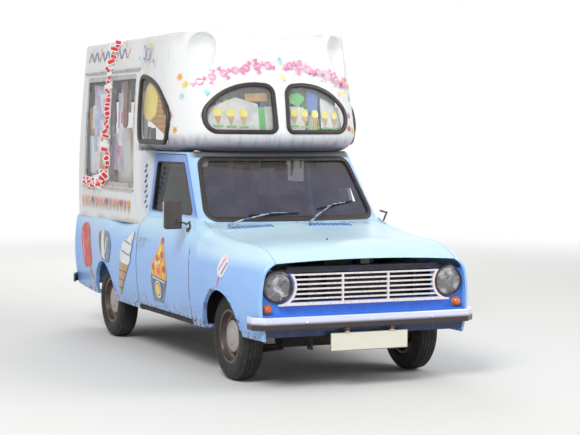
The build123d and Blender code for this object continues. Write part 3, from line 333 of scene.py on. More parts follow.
# Painted shade and dirt: near-black below the bumper.
nose_paint.paint((20, 24, 40), nose_paint.fade("Z", 0.46, 0.39), 0.92)
# Painted shade under the bonnet's lip.
nose_paint.paint((18, 20, 32), nose_paint.fade("Z", 0.694, 0.700))
nose_paint.paint((48, 92, 176), nose_paint.patches(24, 6, 0.5, 0.7), 0.3)
nose_paint.paint((120, 74, 52), nose_paint.patches(60, 4, 0.70, 0.76))
nose_paint.scuff(0.55, nose_paint.patches(9, 4, 0.4, 0.7))
dress(nose_paint, "nose_panel")

# %% [markdown]
# ## The white moulding
#
# The upper body is glass-fibre with a white gel coat. Where the pod rolls under, a grey-violet veil that
# grows darker at its foot is painted shade, and rain and exhaust have drawn thin dark runs. A noise that is
# squeezed sideways and pulled tall gives runs, and a height band keeps them where the moulding rolls under.

# %% Gel coat
POD_FOOT_Z = 1.404
gelcoat = Finish("white_gelcoat", (233, 234, 235), 0.36, coat=0.15)
grime = gelcoat.noise(3.2, 6)
under_pod = gelcoat.times(gelcoat.fade("Y", 0.36, 0.22), gelcoat.fade("Z", 1.398, POD_FOOT_Z))
runs = gelcoat.patches(1.0, 2, 0.46, 0.66, (30.0, 12.0, 0.8))
# Painted shade: grey-violet where the pod rolls under.
gelcoat.paint((128, 123, 146), gelcoat.fade("Z", 1.535, 1.415), under_pod, 0.9)
gelcoat.paint((96, 92, 110), gelcoat.band("Z", 1.41, 1.500, 0.04), under_pod, runs, 0.3)
# Painted shade: darker still at the pod's foot.
gelcoat.paint((70, 65, 78), gelcoat.fade("Z", 1.452, POD_FOOT_Z), under_pod, 0.85)
gelcoat.paint((186, 180, 168), gelcoat.fade("Z", 2.08, 2.20), gelcoat.ramp(grime, 0.45, 0.7), 0.45)
gelcoat.paint((150, 140, 128), gelcoat.fade("Z", 0.93, 0.878), gelcoat.ramp(grime, 0.3, 0.6), 0.6)
gelcoat.paint((150, 146, 140), gelcoat.patches(1.0, 4, 0.62, 0.74, (30.0, 30.0, 1.3)), 0.22)
gelcoat.paint((140, 132, 124), gelcoat.patches(55, 5, 0.70, 0.76), 0.3)
gelcoat.scuff(0.5, gelcoat.ramp(grime, 0.3, 0.7))
gelcoat.relief(0.006, 0.15, gelcoat.noise(6, 3))
dress(gelcoat, "pod", "roof_moulding", "rear_moulding", *pair("side_moulding"))

# %% [markdown]
# ## Glass
#
# Window glass is a thin coat of dust and sky over what is behind it, so a low alpha with a glossy surface
# looks like a pane and still lets light into the cab. Clear refracting glass is truer, but it turns a small
# dark cab nearly black. The screen's blue-grey tint is a painted reflection of the sky, turning grey at its
# top as the painted shadow of the pod, the door glass is tinted near-black as painted shade of the dark
# inside, and the panes of the shop stay clear to show the goods.


# %% Window glass
def window_glass(name, tint, alpha, dust, specular=0.8):
    glass = Finish(name, tint, 0.05, alpha=alpha, specular=specular)
    glass.paint((170, 174, 178), glass.patches(7, 5, 0.35, 0.75), dust)
    glass.scuff(0.25, glass.patches(11, 4, 0.4, 0.8), 0.5)
    glass.material.use_backface_culling = False
    return glass


# The screen's blue-grey tint is a painted reflection of the sky.
screen_glass = window_glass("screen_glass", (58, 57, 80), 0.62, 0.10)
# Painted shadow of the pod: the screen turns grey towards its top.
screen_glass.paint((70, 66, 66), screen_glass.fade("Z", 1.21, 1.31))
dress(screen_glass, "windscreen")
# The door glass is tinted near-black, painted shade of the dark cab behind it.
dress(window_glass("cab_glass", (22, 27, 25), 0.84, 0.04, 0.25), *pair("door_glass"))
dress(window_glass("clear_glass", (196, 204, 206), 0.10, 0.3), "pod_glass", "body_glass")

# %% Ribbed headlamp glass, with painted highlights and dark reflections of the bowl
lamp_glass = Finish("lamp_glass", (142, 140, 144), 0.05, alpha=0.46, specular=0.9)
# Pale and dark patches are painted reflections of the lamp bowl behind the glass.
lamp_glass.paint((228, 230, 238), lamp_glass.patches(13, 3, 0.50, 0.62))
lamp_glass.paint((70, 66, 70), lamp_glass.patches(24, 3, 0.60, 0.66))
lamp_glass.relief(0.002, 0.5, lamp_glass.stripes("X", 26))
dress(lamp_glass, "headlamp_lenses")

# %% [markdown]
# ## Bright metal
#
# Old chrome is dull and pitted, and rust brown shows where the plating has gone. A fully metallic
# shader would mirror the pale floor and look new, so these finishes are part metal and part paint.
# The bumper's underside is painted dark as painted shade, and a fade on height puts that in. The chrome's
# pale lavender-blue base is a painted reflection of the sky.

# %% Chrome and the lamp rims
BUMPER_TURN_Z = 0.400
BROWN_PITS = (104, 66, 48)
# The lavender-blue base is a painted reflection of the sky.
chrome = Finish("dull_chrome", (226, 232, 255), 0.2, metallic=0.5)
# Painted shade: the bumper's underside is dark.
chrome.paint((74, 64, 66), chrome.fade("Z", 0.424, BUMPER_TURN_Z))
chrome.paint(BROWN_PITS, chrome.patches(70, 5, 0.70, 0.76), 0.7)
chrome.paint((70, 58, 54), chrome.fade("Z", BUMPER_TURN_Z, 0.365), chrome.patches(14, 6, 0.4, 0.6), 0.7)
chrome.scuff(0.34, chrome.patches(18, 5, 0.40, 0.75), 0.6)
chrome.relief(0.006, 0.10, chrome.noise(3.5, 2))
dress(chrome, "front_bumper", "rear_bumpers")

lamp_metal = Finish("lamp_metal", (92, 84, 80), 0.28, metallic=0.8)
lamp_metal.paint((168, 166, 166), lamp_metal.fade("Y", -1.812, -1.804))
lamp_metal.paint((70, 58, 50), lamp_metal.patches(30, 5, 0.5, 0.7), 0.5)
dress(lamp_metal, "headlamp_rims")

# %% Aluminium frames and the grille
aluminium = Finish("aluminium", (186, 184, 182), 0.38, metallic=0.75)
aluminium.paint((128, 122, 118), aluminium.patches(12, 6, 0.48, 0.72))
aluminium.paint((78, 66, 58), aluminium.patches(60, 3, 0.68, 0.74))
aluminium.relief(0.0006, 0.4, aluminium.noise(1.0, 3, (300.0, 8.0, 300.0)))
dress(aluminium, "serving_frames")

grille_metal = Finish("grille_metal", (236, 228, 230), 0.26, metallic=0.35)
grille_metal.paint((176, 164, 164), grille_metal.patches(16, 6, 0.58, 0.75), 0.35)
grille_metal.scuff(0.45, grille_metal.patches(30, 4, 0.4, 0.7))
dress(grille_metal, "grille")

# %% Door fittings: a chrome handle, and a mirror with a brownish black shell
fittings = Finish("door_fittings", (60, 54, 54), 0.42)
handle = fittings.times(fittings.band("Y", 0.04, 0.22, 0.002), fittings.band("Z", 0.7, 0.82, 0.002))
fittings.paint((82, 72, 66), fittings.patches(9, 5, 0.4, 0.7), 0.5)
fittings.paint((178, 180, 184), handle)
fittings.scuff(0.2, handle)
fittings.relief(0.0008, 0.35, fittings.noise(160, 2))
dress(fittings, *pair("door_fittings"))

# %% [markdown]
# The small lamps are coloured plastic with fine ribs, set in a grey holder. One solid holds lens and
# holder, so a short fade in depth tells the grey from the colour.

# %% Amber and red lamps
HOLDER_GREY = (150, 148, 146)
amber = Finish("amber_lens", (226, 116, 30), 0.16, coat=0.6)
amber.paint((176, 78, 18), amber.patches(14, 3, 0.45, 0.7))
amber.paint(HOLDER_GREY, amber.fade("Y", -1.812, -1.806))
dress(amber, "front_indicators")
red_lens = Finish("red_lens", (170, 24, 22), 0.16, coat=0.6)
red_lens.paint(HOLDER_GREY, red_lens.fade("Y", 1.862, 1.857))
dress(red_lens, "rear_lamps")
for lens in (amber, red_lens):
    lens.relief(0.0012, 0.6, lens.stripes("Z", 60))

# %% [markdown]
# ## Hidden metal, plates and the shop's inside
#
# What lies under the floor is oily, dusty and rusty, so one recipe with other colours does for all
# of it. The plates are pale plastic with a worn rim, and the inside has laminate and white enamel.
# None of this is seen from near, and two or three patterns each are enough.


# %% Dark and hidden metal
def dull_metal(name, base, dirt, roughness, metallic=0.0):
    metal = Finish(name, base, roughness, metallic)
    metal.paint(dirt, metal.patches(7, 7, 0.42, 0.68))
    metal.paint(DARK_RUST, metal.patches(42, 5, 0.58, 0.7), 0.6)
    metal.relief(0.0015, 0.4, metal.noise(50, 5))
    return metal


dress(dull_metal("underbody", (34, 33, 34), (66, 58, 50), 0.75), "floor_pan", "chassis_rails",
      "front_suspension", "rear_axle", "fuel_tank", *pair("knuckle"))
dress(dull_metal("radiator_black", (20, 20, 21), (44, 40, 38), 0.6), "radiator")
dress(dull_metal("engine_iron", (64, 62, 60), (38, 32, 28), 0.5, 0.4), "engine_block")
dress(dull_metal("exhaust_steel", (104, 78, 60), (62, 44, 34), 0.7, 0.3), "exhaust")

# %% Plates with a worn rim at the front
PLATE_HALF, PLATE_FOOT_Z, PLATE_TOP_Z = 0.2565, 0.2355, 0.3435
RIM_SOFT = 0.002
plate = Finish("blank_plate", (224, 222, 208), 0.35, coat=0.2)
plate.paint((206, 198, 170), plate.patches(9, 6, 0.52, 0.75))
rim = plate.most(plate.ramp(plate.aside(), PLATE_HALF - RIM_SOFT, PLATE_HALF),
                 plate.fade("Z", PLATE_FOOT_Z + RIM_SOFT, PLATE_FOOT_Z),
                 plate.band("Z", PLATE_TOP_Z - 0.004, PLATE_TOP_Z, 0.0005))
on_nose = plate.band("Y", -2.0, -1.8, 0.01)
plate.paint((70, 52, 44), rim, on_nose, 0.8)
plate.paint((96, 62, 44), plate.fade("Z", 0.344, 0.352), on_nose)
plate.relief(0.004, 0.2, plate.noise(4, 2))
dress(plate, "front_plate", "rear_plate")

# %% Cab and shop plastics
COUNTER_TOP_Z = 1.028
dash = Finish("dash_black", (30, 30, 32), 0.6)
dash.paint((64, 62, 60), dash.patches(6, 4, 0.5, 0.8))
dash.relief(0.0006, 0.5, dash.noise(240, 3))
dress(dash, "dashboard", "steering_wheel")
laminate = Finish("pale_laminate", (214, 208, 192), 0.45)
laminate.paint((190, 182, 164), laminate.patches(90, 2, 0.55, 0.65))
laminate.paint((176, 148, 104), laminate.fade("Z", COUNTER_TOP_Z, COUNTER_TOP_Z - 0.002))
laminate.relief(0.0006, 0.3, laminate.noise(1.0, 4, (4.0, 4.0, 90.0)))
dress(laminate, "service_counters")
enamel = Finish("white_enamel", (226, 228, 226), 0.3, coat=0.3)
enamel.paint((188, 184, 172), enamel.patches(5, 5, 0.5, 0.75), 0.5)
enamel.scuff(0.45, enamel.patches(12, 4, 0.4, 0.7))
dress(enamel, "freezer", "ice_cream_machine")

# %% [markdown]
# The large show cones lean, so the line between whirl and biscuit leans too. The sum of a share of Y
# and a share of Z measures along the cone, and two sets of stripes cross to give the waffle.

# %% The display cones
cone_paint = Finish("display_cone", (242, 228, 128), 0.4, coat=0.2)
waffle = cone_paint.most(cone_paint.stripes("DIAGONAL", 9.0), cone_paint.stripes("Z", 9.0))
along = cone_paint.reckon("ADD", cone_paint.times(cone_paint.spot("Y"), 0.86),
                          cone_paint.times(cone_paint.spot("Z"), 0.51))
biscuit_part = cone_paint.ramp(along, 0.962, 0.954)
cone_paint.paint((226, 176, 84), biscuit_part)
cone_paint.paint((186, 130, 56), biscuit_part, cone_paint.ramp(waffle, 0.75, 0.9))
cone_paint.relief(0.004, 0.5, biscuit_part, waffle)
dress(cone_paint, "display_cones")

# %% [markdown]
# ## Wheels
#
# A wheel turns, so its dirt must be patterned round its own axle. The distance from the axle sorts
# the hub cap from the painted rim. Front and rear wheels have their own axle, so they get their own
# copy of the finish.


# %% Wheel finish
def wheel_finish(name, axle_y):
    steel = Finish(name, (112, 102, 98), 0.38, metallic=0.6)
    away = steel.from_axle(axle_y)
    steel.paint((176, 168, 166), steel.ramp(away, 0.110, 0.104))
    steel.paint((104, 78, 60), steel.patches(13, 6, 0.46, 0.66), steel.ramp(away, 0.098, 0.112), 0.75)
    steel.paint(DARK_RUST, steel.patches(48, 5, 0.64, 0.72), 0.7)
    rings = steel.most(steel.ring(axle_y, 0.104, 0.006), steel.ring(axle_y, 0.150, 0.006))
    steel.paint((44, 36, 32), rings, 0.8)
    steel.scuff(0.62, steel.patches(20, 5, 0.4, 0.7))
    steel.relief(0.0012, 0.35, steel.noise(36, 4))
    return steel


dress(wheel_finish("front_wheel_steel", FRONT_AXLE_Y), *pair("wheel_front"))
dress(wheel_finish("rear_wheel_steel", REAR_AXLE_Y), *pair("wheel_rear"))

# %% [markdown]
# ## Making pieces
#
# A bmesh is a mesh under work. `object_from` turns it into an object. `put` also gives it a finish,
# rounds its shading except at sharp edges, and lets it ride on a body of the frame, so it swings
# with a door or turns with a wheel. `joined` copies small bmeshes into another, so that one piece
# can hold many parts.


# %% From a bmesh to an object
def object_from(bm, name, *finishes):
    mesh = bpy.data.meshes.new(name)
    bm.to_mesh(mesh)
    bm.free()
    for finish in finishes:
        mesh.materials.append(finish.material)
    made = bpy.data.objects.new(name, mesh)
    bpy.context.scene.collection.objects.link(made)
    return made


# %% From a bmesh to a piece that rides on a body
def put(name, bm, body, *finishes, slot=None, sharp=40.0):
    bmesh.ops.recalc_face_normals(bm, faces=bm.faces)
    made = object_from(bm, name, *finishes)
    made.data.shade_smooth()
    made.data.set_sharp_from_angle(angle=math.radians(sharp))
    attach(made, body)
    print("made", name, "with", len(made.data.polygons), "faces")
    return made


# %% Many parts in one piece
def joined(target, *parts, finish=0):
    for part in parts:
        for face in part.faces:
            face.material_index = finish
        scratch = bpy.data.meshes.new("scratch")
        part.to_mesh(scratch)
        part.free()
        target.from_mesh(scratch)
        bpy.data.meshes.remove(scratch)


# %% Slabs, bars and balls
def slab(size, centre, edge, turn=None, steps=2):
    bm = bmesh.new()
    bmesh.ops.create_cube(bm, size=1.0, matrix=Matrix.Diagonal((*size, 1.0)))
    bmesh.ops.bevel(bm, geom=bm.edges[:], offset=edge, segments=steps, affect="EDGES", profile=0.5,
                    material=-1)
    bm.transform(Matrix.Translation(centre) @ (turn.to_4x4() if turn else Matrix.Identity(4)))
    return bm


def bar_between(start, end, radius, end_radius=None, sides=12):
    start, end = Vector(start), Vector(end)
    run = end - start
    bm = bmesh.new()
    bmesh.ops.create_cone(bm, cap_ends=True, segments=sides, radius1=radius,
                          radius2=radius if end_radius is None else end_radius, depth=run.length)
    bm.transform(Matrix.Translation((start + end) / 2) @ run.to_track_quat("Z", "Y").to_matrix().to_4x4())
    return bm


def ball(radius, centre, sides, rows, depth=1.0):
    bm = bmesh.new()
    bmesh.ops.create_uvsphere(bm, u_segments=sides, v_segments=rows, radius=radius)
    bm.transform(Matrix.Translation(centre) @ Matrix.Diagonal((1, depth, 1, 1)))
    return bm


# %% [markdown]
# ## Tyres
#
# A tyre is a body of revolution, so it is spun from one row of section points, mirrored at the
# middle. The tread ribs are in the section. Moving the rib edges to and fro by turns gives the
# zigzag grooves of an old cross-ply tyre. A ring of small bumps would need far more faces for the
# same look.

# %% Rubber
rubber = Finish("tyre_rubber", (27, 27, 27), 0.72)
rubber.paint((62, 57, 54), rubber.patches(9, 6, 0.46, 0.78))
rubber.paint((104, 92, 80), rubber.patches(60, 4, 0.55, 0.75), 0.5)
rubber.relief(0.0006, 0.4, rubber.noise(120, 3))

# %% A spun tyre with zigzag grooves
TREAD_STEPS = 96
ZIGZAG, GROOVES_FROM, GROOVES_TO = 0.0022, 0.009, 0.0355
LUG_CUT, SHOULDER_FROM, SHOULDER_TO = 0.985, 0.0565, 0.0635
# Each point is (distance from the middle, radius)
HALF_SECTION = [(0.0, 0.2715), (0.011, 0.2714), (0.0115, 0.2665), (0.0155, 0.2665), (0.016, 0.2711),
                (0.030, 0.2705), (0.0305, 0.2655), (0.0345, 0.2655), (0.035, 0.2697), (0.051, 0.2665),
                (0.057, 0.2600), (0.0625, 0.2520), (0.0640, 0.2515), (0.0690, 0.2370), (0.0718, 0.2180),
                (0.0718, 0.2040), (0.0700, 0.1900), (0.0712, 0.1880), (0.0700, 0.1860), (0.0640, 0.1740),
                (0.0570, 0.1660), (0.0500, 0.1580)]


def tyre():
    section = [(-x, radius) for x, radius in reversed(HALF_SECTION[1:])] + HALF_SECTION
    bm = bmesh.new()
    row = [bm.verts.new((x, 0.0, radius)) for x, radius in section]
    loop = [bm.edges.new(ends) for ends in zip(row, row[1:])] + [bm.edges.new((row[-1], row[0]))]
    bmesh.ops.spin(bm, geom=row + loop, cent=(0, 0, 0), axis=(1, 0, 0), dvec=(0, 0, 0),
                   angle=math.tau, steps=TREAD_STEPS, use_merge=True)
    for vert in bm.verts:
        step = round(math.atan2(vert.co.y, vert.co.z) / math.tau * TREAD_STEPS)
        if GROOVES_FROM < abs(vert.co.x) < GROOVES_TO:
            vert.co.x += ZIGZAG if (step // 2) % 2 else -ZIGZAG
        if SHOULDER_FROM < abs(vert.co.x) < SHOULDER_TO and step % 4 < 2:
            vert.co.yz = vert.co.yz * LUG_CUT
    return bm


for corner in ("front_right", "front_left", "rear_right", "rear_left"):
    wheel = corner.replace("_", "_wheel_")
    rolled = tyre()
    rolled.transform(Matrix.Translation(joint_at[wheel + "_spin"]))
    made = put("tyre_tread_" + corner, rolled, wheel, rubber, slot="tyre_rubber", sharp=30.0)
    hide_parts("tyre_" + corner)
print("tyre size:", [round(length, 3) for length in made.dimensions])

# %% [markdown]
# ## Rubber window seals
#
# A seal is a flat strip with rounded edges that follows its window and the curve of the body. First
# comes the window's outline as a flat face: a few corner points, rounded by a vertex bevel. An inset
# turns the face into a strip, an extrusion gives it a thickness, and a bevel rounds its lips. The
# strip is then cut every few centimetres and each point is moved onto the body's surface. A plain
# tube along a curve is quicker, but it looks like a cable.

# %% Surfaces that the seals follow
# Each row is (height, front at the middle, corner x, corner y, side x, rear y), the cab without rear
UPPER_ROWS = ((0.880, -0.600, 0.478, -0.524, 0.706, 1.836), (1.560, -0.592, 0.474, -0.519, 0.700, 1.816),
              (1.945, -0.511, 0.455, -0.440, 0.676, 1.792), (2.212, -0.452, 0.436, -0.385, 0.656, 1.772))
CAB_ROWS = ((0.930, -0.874, 0.608, -0.770, 0.661), (1.396, -0.468, 0.552, -0.402, 0.602))


def row_at(rows, z):
    for low, high in zip(rows, rows[1:]):
        if z <= high[0]:
            break
    share = (z - low[0]) / (high[0] - low[0])
    return [a + (b - a) * share for a, b in zip(low, high)]


def bowed_front(rows):
    def depth(x, z):
        front, corner_x, corner_y = row_at(rows, z)[1:4]
        rise = corner_y - front
        radius = (corner_x ** 2 + rise ** 2) / (2 * rise)
        return front + radius - math.sqrt(max(radius ** 2 - x ** 2, 0.0))

    return depth


def straight(rows, column):
    def depth(along, z):
        return row_at(rows, z)[column]

    return depth


pod_front, cab_front = bowed_front(UPPER_ROWS), bowed_front(CAB_ROWS)
upper_side, upper_rear, cab_side = straight(UPPER_ROWS, 4), straight(UPPER_ROWS, 5), straight(CAB_ROWS, 4)
print("pod front at its middle:", round(pod_front(0.0, 1.7), 3))


# %% A flat face with rounded corners
def rounded_face(corners, radii):
    bm = bmesh.new()
    face = bm.faces.new([bm.verts.new((a, b, 0.0)) for a, b in corners])
    if face.normal.z < 0:
        face.normal_flip()
    bm.verts.index_update()
    radii = radii if isinstance(radii, (list, tuple)) else [radii] * len(corners)
    for vert, radius in list(zip(bm.verts[:], radii)):
        bm.normal_update()
        legs = [(e.other_vert(vert).co - vert.co).normalized() for e in vert.link_edges]
        half = legs[0].angle(legs[1]) / 2
        reach = min(radius / math.tan(half), 0.97 * min(e.calc_length() for e in vert.link_edges))
        bmesh.ops.bevel(bm, geom=[vert], offset=reach, segments=8, affect="VERTICES", profile=0.5,
                        material=-1)
    bm.normal_update()
    return bm


# %% Cuts a few centimetres apart, so that a flat face can bend
def cut_every(bm, step):
    for axis in (0, 1):
        values = [v.co[axis] for v in bm.verts]
        normal = Vector([1.0 if k == axis else 0.0 for k in range(3)])
        spot = math.ceil(min(values) / step) * step
        while spot < max(values):
            bmesh.ops.bisect_plane(bm, geom=bm.verts[:] + bm.edges[:] + bm.faces[:], dist=1e-5,
                                   plane_co=normal * spot, plane_no=normal)
            spot += step


# %% A thickness with rounded lips
LIP_ANGLE = 1.0


def thickened(bm, height, lip=0.0, steps=3):
    raised = bmesh.ops.extrude_face_region(bm, geom=bm.faces[:])["geom"]
    crest = [part for part in raised if isinstance(part, bmesh.types.BMVert)]
    bmesh.ops.translate(bm, verts=crest, vec=(0, 0, height))
    if lip:
        bmesh.ops.recalc_face_normals(bm, faces=bm.faces)
        lips = [e for e in bm.edges if all(v in crest for v in e.verts) and e.calc_face_angle(0) > LIP_ANGLE]
        bmesh.ops.bevel(bm, geom=lips, offset=lip, segments=steps, affect="EDGES", profile=0.5, material=-1)
    return bm


# %% A strip from an outline
def strip(corners, radii, outside, width, height):
    bm = rounded_face(corners, radii)
    pane = bm.faces[:]
    collar = bmesh.ops.inset_region(bm, faces=pane, thickness=-outside, use_boundary=True,
                                    use_even_offset=True)
    bmesh.ops.delete(bm, geom=collar["faces"], context="FACES")
    bmesh.ops.inset_region(bm, faces=pane, thickness=width, use_boundary=True, use_even_offset=True)
    bmesh.ops.delete(bm, geom=pane, context="FACES")
    thickened(bm, height, min(height, width) * 0.4)
    cut_every(bm, 0.06)
    return bm


# %% From the flat onto the body
def wrap(bm, facing, surface, lift):
    for vert in bm.verts:
        across, up, out = vert.co
        depth = surface(across, up)
        if facing == "front":
            vert.co = (across, depth - lift - out, up)
        elif facing == "rear":
            vert.co = (across, depth + lift + out, up)
        elif facing == "right":
            vert.co = (-depth - lift - out, across, up)
        else:
            vert.co = (depth + lift + out, across, up)
    return bm


def metres(points):
    return [(a / 1000, b / 1000) for a, b in points]


# %% Windows in millimetres, across and up
POD_WINDOW = metres([(-40, 1530), (-48, 1845), (-235, 1862), (-430, 1790), (-550, 1645), (-485, 1532)])
POD_RADII = [0.044, 0.064, 0.400, 0.320, 0.115, 0.070]
SIDE_WINDOW = metres([(352, 1700), (330, 1926), (120, 1905), (-120, 1800), (-285, 1640), (-225, 1458),
                      (318, 1462)])
SIDE_RADII = [0.900, 0.050, 0.760, 0.600, 0.150, 0.060, 0.048]
SCREEN = metres([(-610, 961), (610, 961), (546, 1360), (-546, 1360)])
DOOR_WINDOW = metres([(-632, 985), (186, 985), (186, 1328), (-352, 1328)])
REAR_WINDOW = metres([(-430, 1230), (430, 1230), (410, 1790), (-410, 1790)])
print("window outlines:", len(POD_WINDOW), "and", len(SIDE_WINDOW), "points in the pod")

# %% The seals
seal_rubber = Finish("seal_rubber", (38, 30, 29), 0.45)
seal_rubber.paint((62, 52, 48), seal_rubber.patches(14, 6, 0.48, 0.75))
seal_rubber.paint((24, 20, 20), seal_rubber.patches(70, 4, 0.6, 0.7), 0.5)
seal_rubber.relief(0.0006, 0.5, seal_rubber.noise(150, 3))


def seal(name, body, corners, radii, facing, surface, outside, width, height, sink):
    bm = wrap(strip(corners, radii, outside, width, height), facing, surface, -sink)
    put(name, bm, body, seal_rubber)


for side, out in SIDES:
    pod_window = [(-out * a, b) for a, b in POD_WINDOW]
    seal("pod_front_seal_" + side, "body", pod_window, POD_RADII, "front", pod_front,
         0.012, 0.030, 0.022, 0.010)
    seal("pod_side_seal_" + side, "body", SIDE_WINDOW, SIDE_RADII, side, upper_side,
         0.014, 0.034, 0.022, 0.010)
    seal("door_window_seal_" + side, "door_" + side, DOOR_WINDOW, 0.030, side, cab_side,
         0.003, 0.013, 0.014, 0.012)
seal("screen_seal", "body", SCREEN, 0.064, "front", cab_front, 0.010, 0.030, 0.020, 0.009)
seal("rear_window_seal", "body", REAR_WINDOW, 0.040, "rear", upper_rear, 0.010, 0.030, 0.020, 0.009)

# %% [markdown]
# ## Rubber in the gaps
#
# A door closes on a round rubber in its frame, and the pod sits on the cab with a gasket between.
# Both are seen only as a dark line, so a chain of thin bars from point to point does the work of a
# bent tube with fewer faces.

# %% Rubber round the doors and under the pod
DOOR_RUBBER_INSET = 0.044
DOOR_RUBBER = [(-0.706, 0.952), (-0.538, 1.166), (-0.366, 1.3805), (-0.060, 1.3805), (0.246, 1.3805)]
GASKET_Z = 1.399
GASKET_END = [(-0.597, 0.245), (-0.597, -0.320), (-0.575, -0.366)]
GASKET_FRONT_X = (-0.545, -0.4, -0.2, 0.0, 0.2, 0.4, 0.545)


def chain(name, points, radius):
    bm = bmesh.new()
    for start, end in zip(points, points[1:]):
        joined(bm, bar_between(start, end, radius, sides=8))
    put(name, bm, "body", seal_rubber)


for side, out in SIDES:
    chain("door_rubber_" + side, [(out * (cab_side(y, z) - DOOR_RUBBER_INSET), y, z) for y, z in DOOR_RUBBER],
          0.0065)
gasket = GASKET_END + [(x, cab_front(x, 1.396) + 0.004) for x in GASKET_FRONT_X]
gasket += [(-x, y) for x, y in reversed(GASKET_END)]
chain("roof_gasket", [(x, y, GASKET_Z) for x, y in gasket], 0.0040)

# %% [markdown]
# ## Wipers and the scuttle
#
# A wiper is an arm with a kink and a blade that lies on the glass. The arm is a tapered bar between
# two points, the blade a thin rail with a rubber lip below it. The pivots stand on the scuttle, the
# strip of body between bonnet and screen, so their height is found by a ray shot down at it. The
# same ray sets each louvre of the air vents, so that the vents follow the scuttle's gentle arch.


# %% Rays onto the solids
def skin_of(*names):
    points, polygons = [], []
    for name in names:
        mesh = nodes[name].data
        start = len(points)
        points.extend(v.co.copy() for v in mesh.vertices)
        polygons.extend([start + i for i in p.vertices] for p in mesh.polygons)
    return BVHTree.FromPolygons(points, polygons)


cab_skin = skin_of("cab_frame", "bonnet")
ABOVE_BONNET_Z = 1.2


def on_top(x, y):
    return cab_skin.ray_cast(Vector((x, y, ABOVE_BONNET_Z)), Vector((0, 0, -1)))[0].z


print("scuttle height at its middle:", round(on_top(0.0, -0.942), 3))

# %% Two wipers
wiper_steel = Finish("wiper_steel", (168, 170, 182), 0.35, metallic=0.4)
wiper_steel.paint((58, 84, 150), wiper_steel.patches(24, 5, 0.48, 0.58))
blade_rubber = Finish("blade_rubber", (30, 30, 32), 0.6)
blade_rubber.paint((56, 54, 54), blade_rubber.patches(40, 4, 0.5, 0.7))
GLASS_BACK = 0.010
PIVOT_Y = -0.960
ARM_LIFT, YOKE_LIFT, BLADE_LIFT = 0.026, 0.018, 0.012


def on_screen(x, z, lift):
    return Vector((x, cab_front(x, z) + GLASS_BACK - lift, z))


def wiper(name, pivot_x, hold, blade_from, blade_to):
    pivot = Vector((pivot_x, PIVOT_Y, on_top(pivot_x, PIVOT_Y)))
    head = pivot + Vector((0, 0, 0.026))
    held = on_screen(*hold, ARM_LIFT)
    knee = head.lerp(held, 0.3) + Vector((0, -0.010, 0.012))
    bm = bmesh.new()
    joined(bm, bar_between(pivot - Vector((0, 0, 0.004)), pivot + Vector((0, 0, 0.024)), 0.013, 0.010),
           bar_between(head, knee, 0.009, 0.006), bar_between(knee, held, 0.006, 0.003))
    blade = [[a + (b - a) * share for a, b in zip(blade_from, blade_to)] for share in (0.0, 0.5, 1.0)]
    for start, end in zip(blade, blade[1:]):
        joined(bm, bar_between(on_screen(*start, BLADE_LIFT), on_screen(*end, BLADE_LIFT), 0.0045), finish=1)
    near, far = on_screen(*blade_from, YOKE_LIFT), on_screen(*blade_to, YOKE_LIFT)
    joined(bm, bar_between(near.lerp(far, 0.22), held, 0.0035),
           bar_between(held, near.lerp(far, 0.78), 0.0035))
    put(name, bm, "body", wiper_steel, blade_rubber)


wiper("wiper_right", -0.535, (-0.164, 1.006), (-0.330, 0.992), (0.022, 1.004))
wiper("wiper_left", 0.040, (0.296, 1.054), (0.170, 1.028), (0.470, 1.072))

# %% Scuttle vents
VENT_STARTS, LOUVRES, LOUVRE_STEP = (-0.520, 0.045), 18, 0.0165
VENT_REAR_Y, VENT_Y, VENT_FRONT_Y, VENT_LENGTH = -0.908, -0.942, -0.976, 0.068
LOUVRE_SIZE, LOUVRE_TILT = (0.0085, 0.062, 0.005), math.radians(14)
# Every second louvre takes the darker vent_shade finish, painted shade between the lit louvres.
vent_blue = Finish("vent_blue", (156, 196, 236), 0.45)
vent_blue.paint((110, 150, 210), vent_blue.patches(40, 4, 0.45, 0.65))
vent_shade = Finish("vent_shade", (84, 122, 184), 0.6)
vent_shade.paint((48, 76, 130), vent_shade.patches(40, 4, 0.5, 0.7))
bm = bmesh.new()
for start in VENT_STARTS:
    for step in range(LOUVRES):
        x = start + 0.009 + step * LOUVRE_STEP
        rear_z, front_z = on_top(x, VENT_REAR_Y), on_top(x, VENT_FRONT_Y)
        slope = Matrix.Rotation(math.atan2(rear_z - front_z, VENT_LENGTH), 3, "X")
        middle = (x, VENT_Y, (rear_z + front_z) / 2 + 0.0025)
        joined(bm, slab(LOUVRE_SIZE, middle, 0.0015, slope @ Matrix.Rotation(LOUVRE_TILT, 3, "Y"), 1),
               finish=step % 2)
put("scuttle_vents", bm, "body", vent_blue, vent_shade)

# %% The washer jet on the bonnet
jet_spot = Vector((-0.130, -1.56, on_top(-0.130, -1.56)))
jet = bar_between(jet_spot - Vector((0, 0, 0.002)), jet_spot + Vector((0, 0, 0.009)), 0.006, 0.004)
put("washer_jet", jet, "bonnet", blade_rubber)

# %% [markdown]
# ## Painted pictures
#
# The van's sides carry hand-painted treats. Each picture here is a new, plain design: an ice lolly, a
# wafer, a soft-ice cone and a tub. A shape is drawn flat from a few corner points, rounded, cut into
# squares of a few centimetres, and then each point is shot at the body and stops just above it, like
# a transfer laid on with water. Later shapes sit a hair above earlier ones. An image texture would
# blur at this size, while a shape keeps a sharp edge from near and far.


# %% Paints for signs and cards
def sign_paint(name, colour, faded):
    paint = Finish(name, colour, 0.38)
    paint.paint(faded, paint.patches(11, 6, 0.42, 0.68))
    paint.paint((200, 204, 210), paint.patches(60, 5, 0.62, 0.7), 0.6)
    return paint


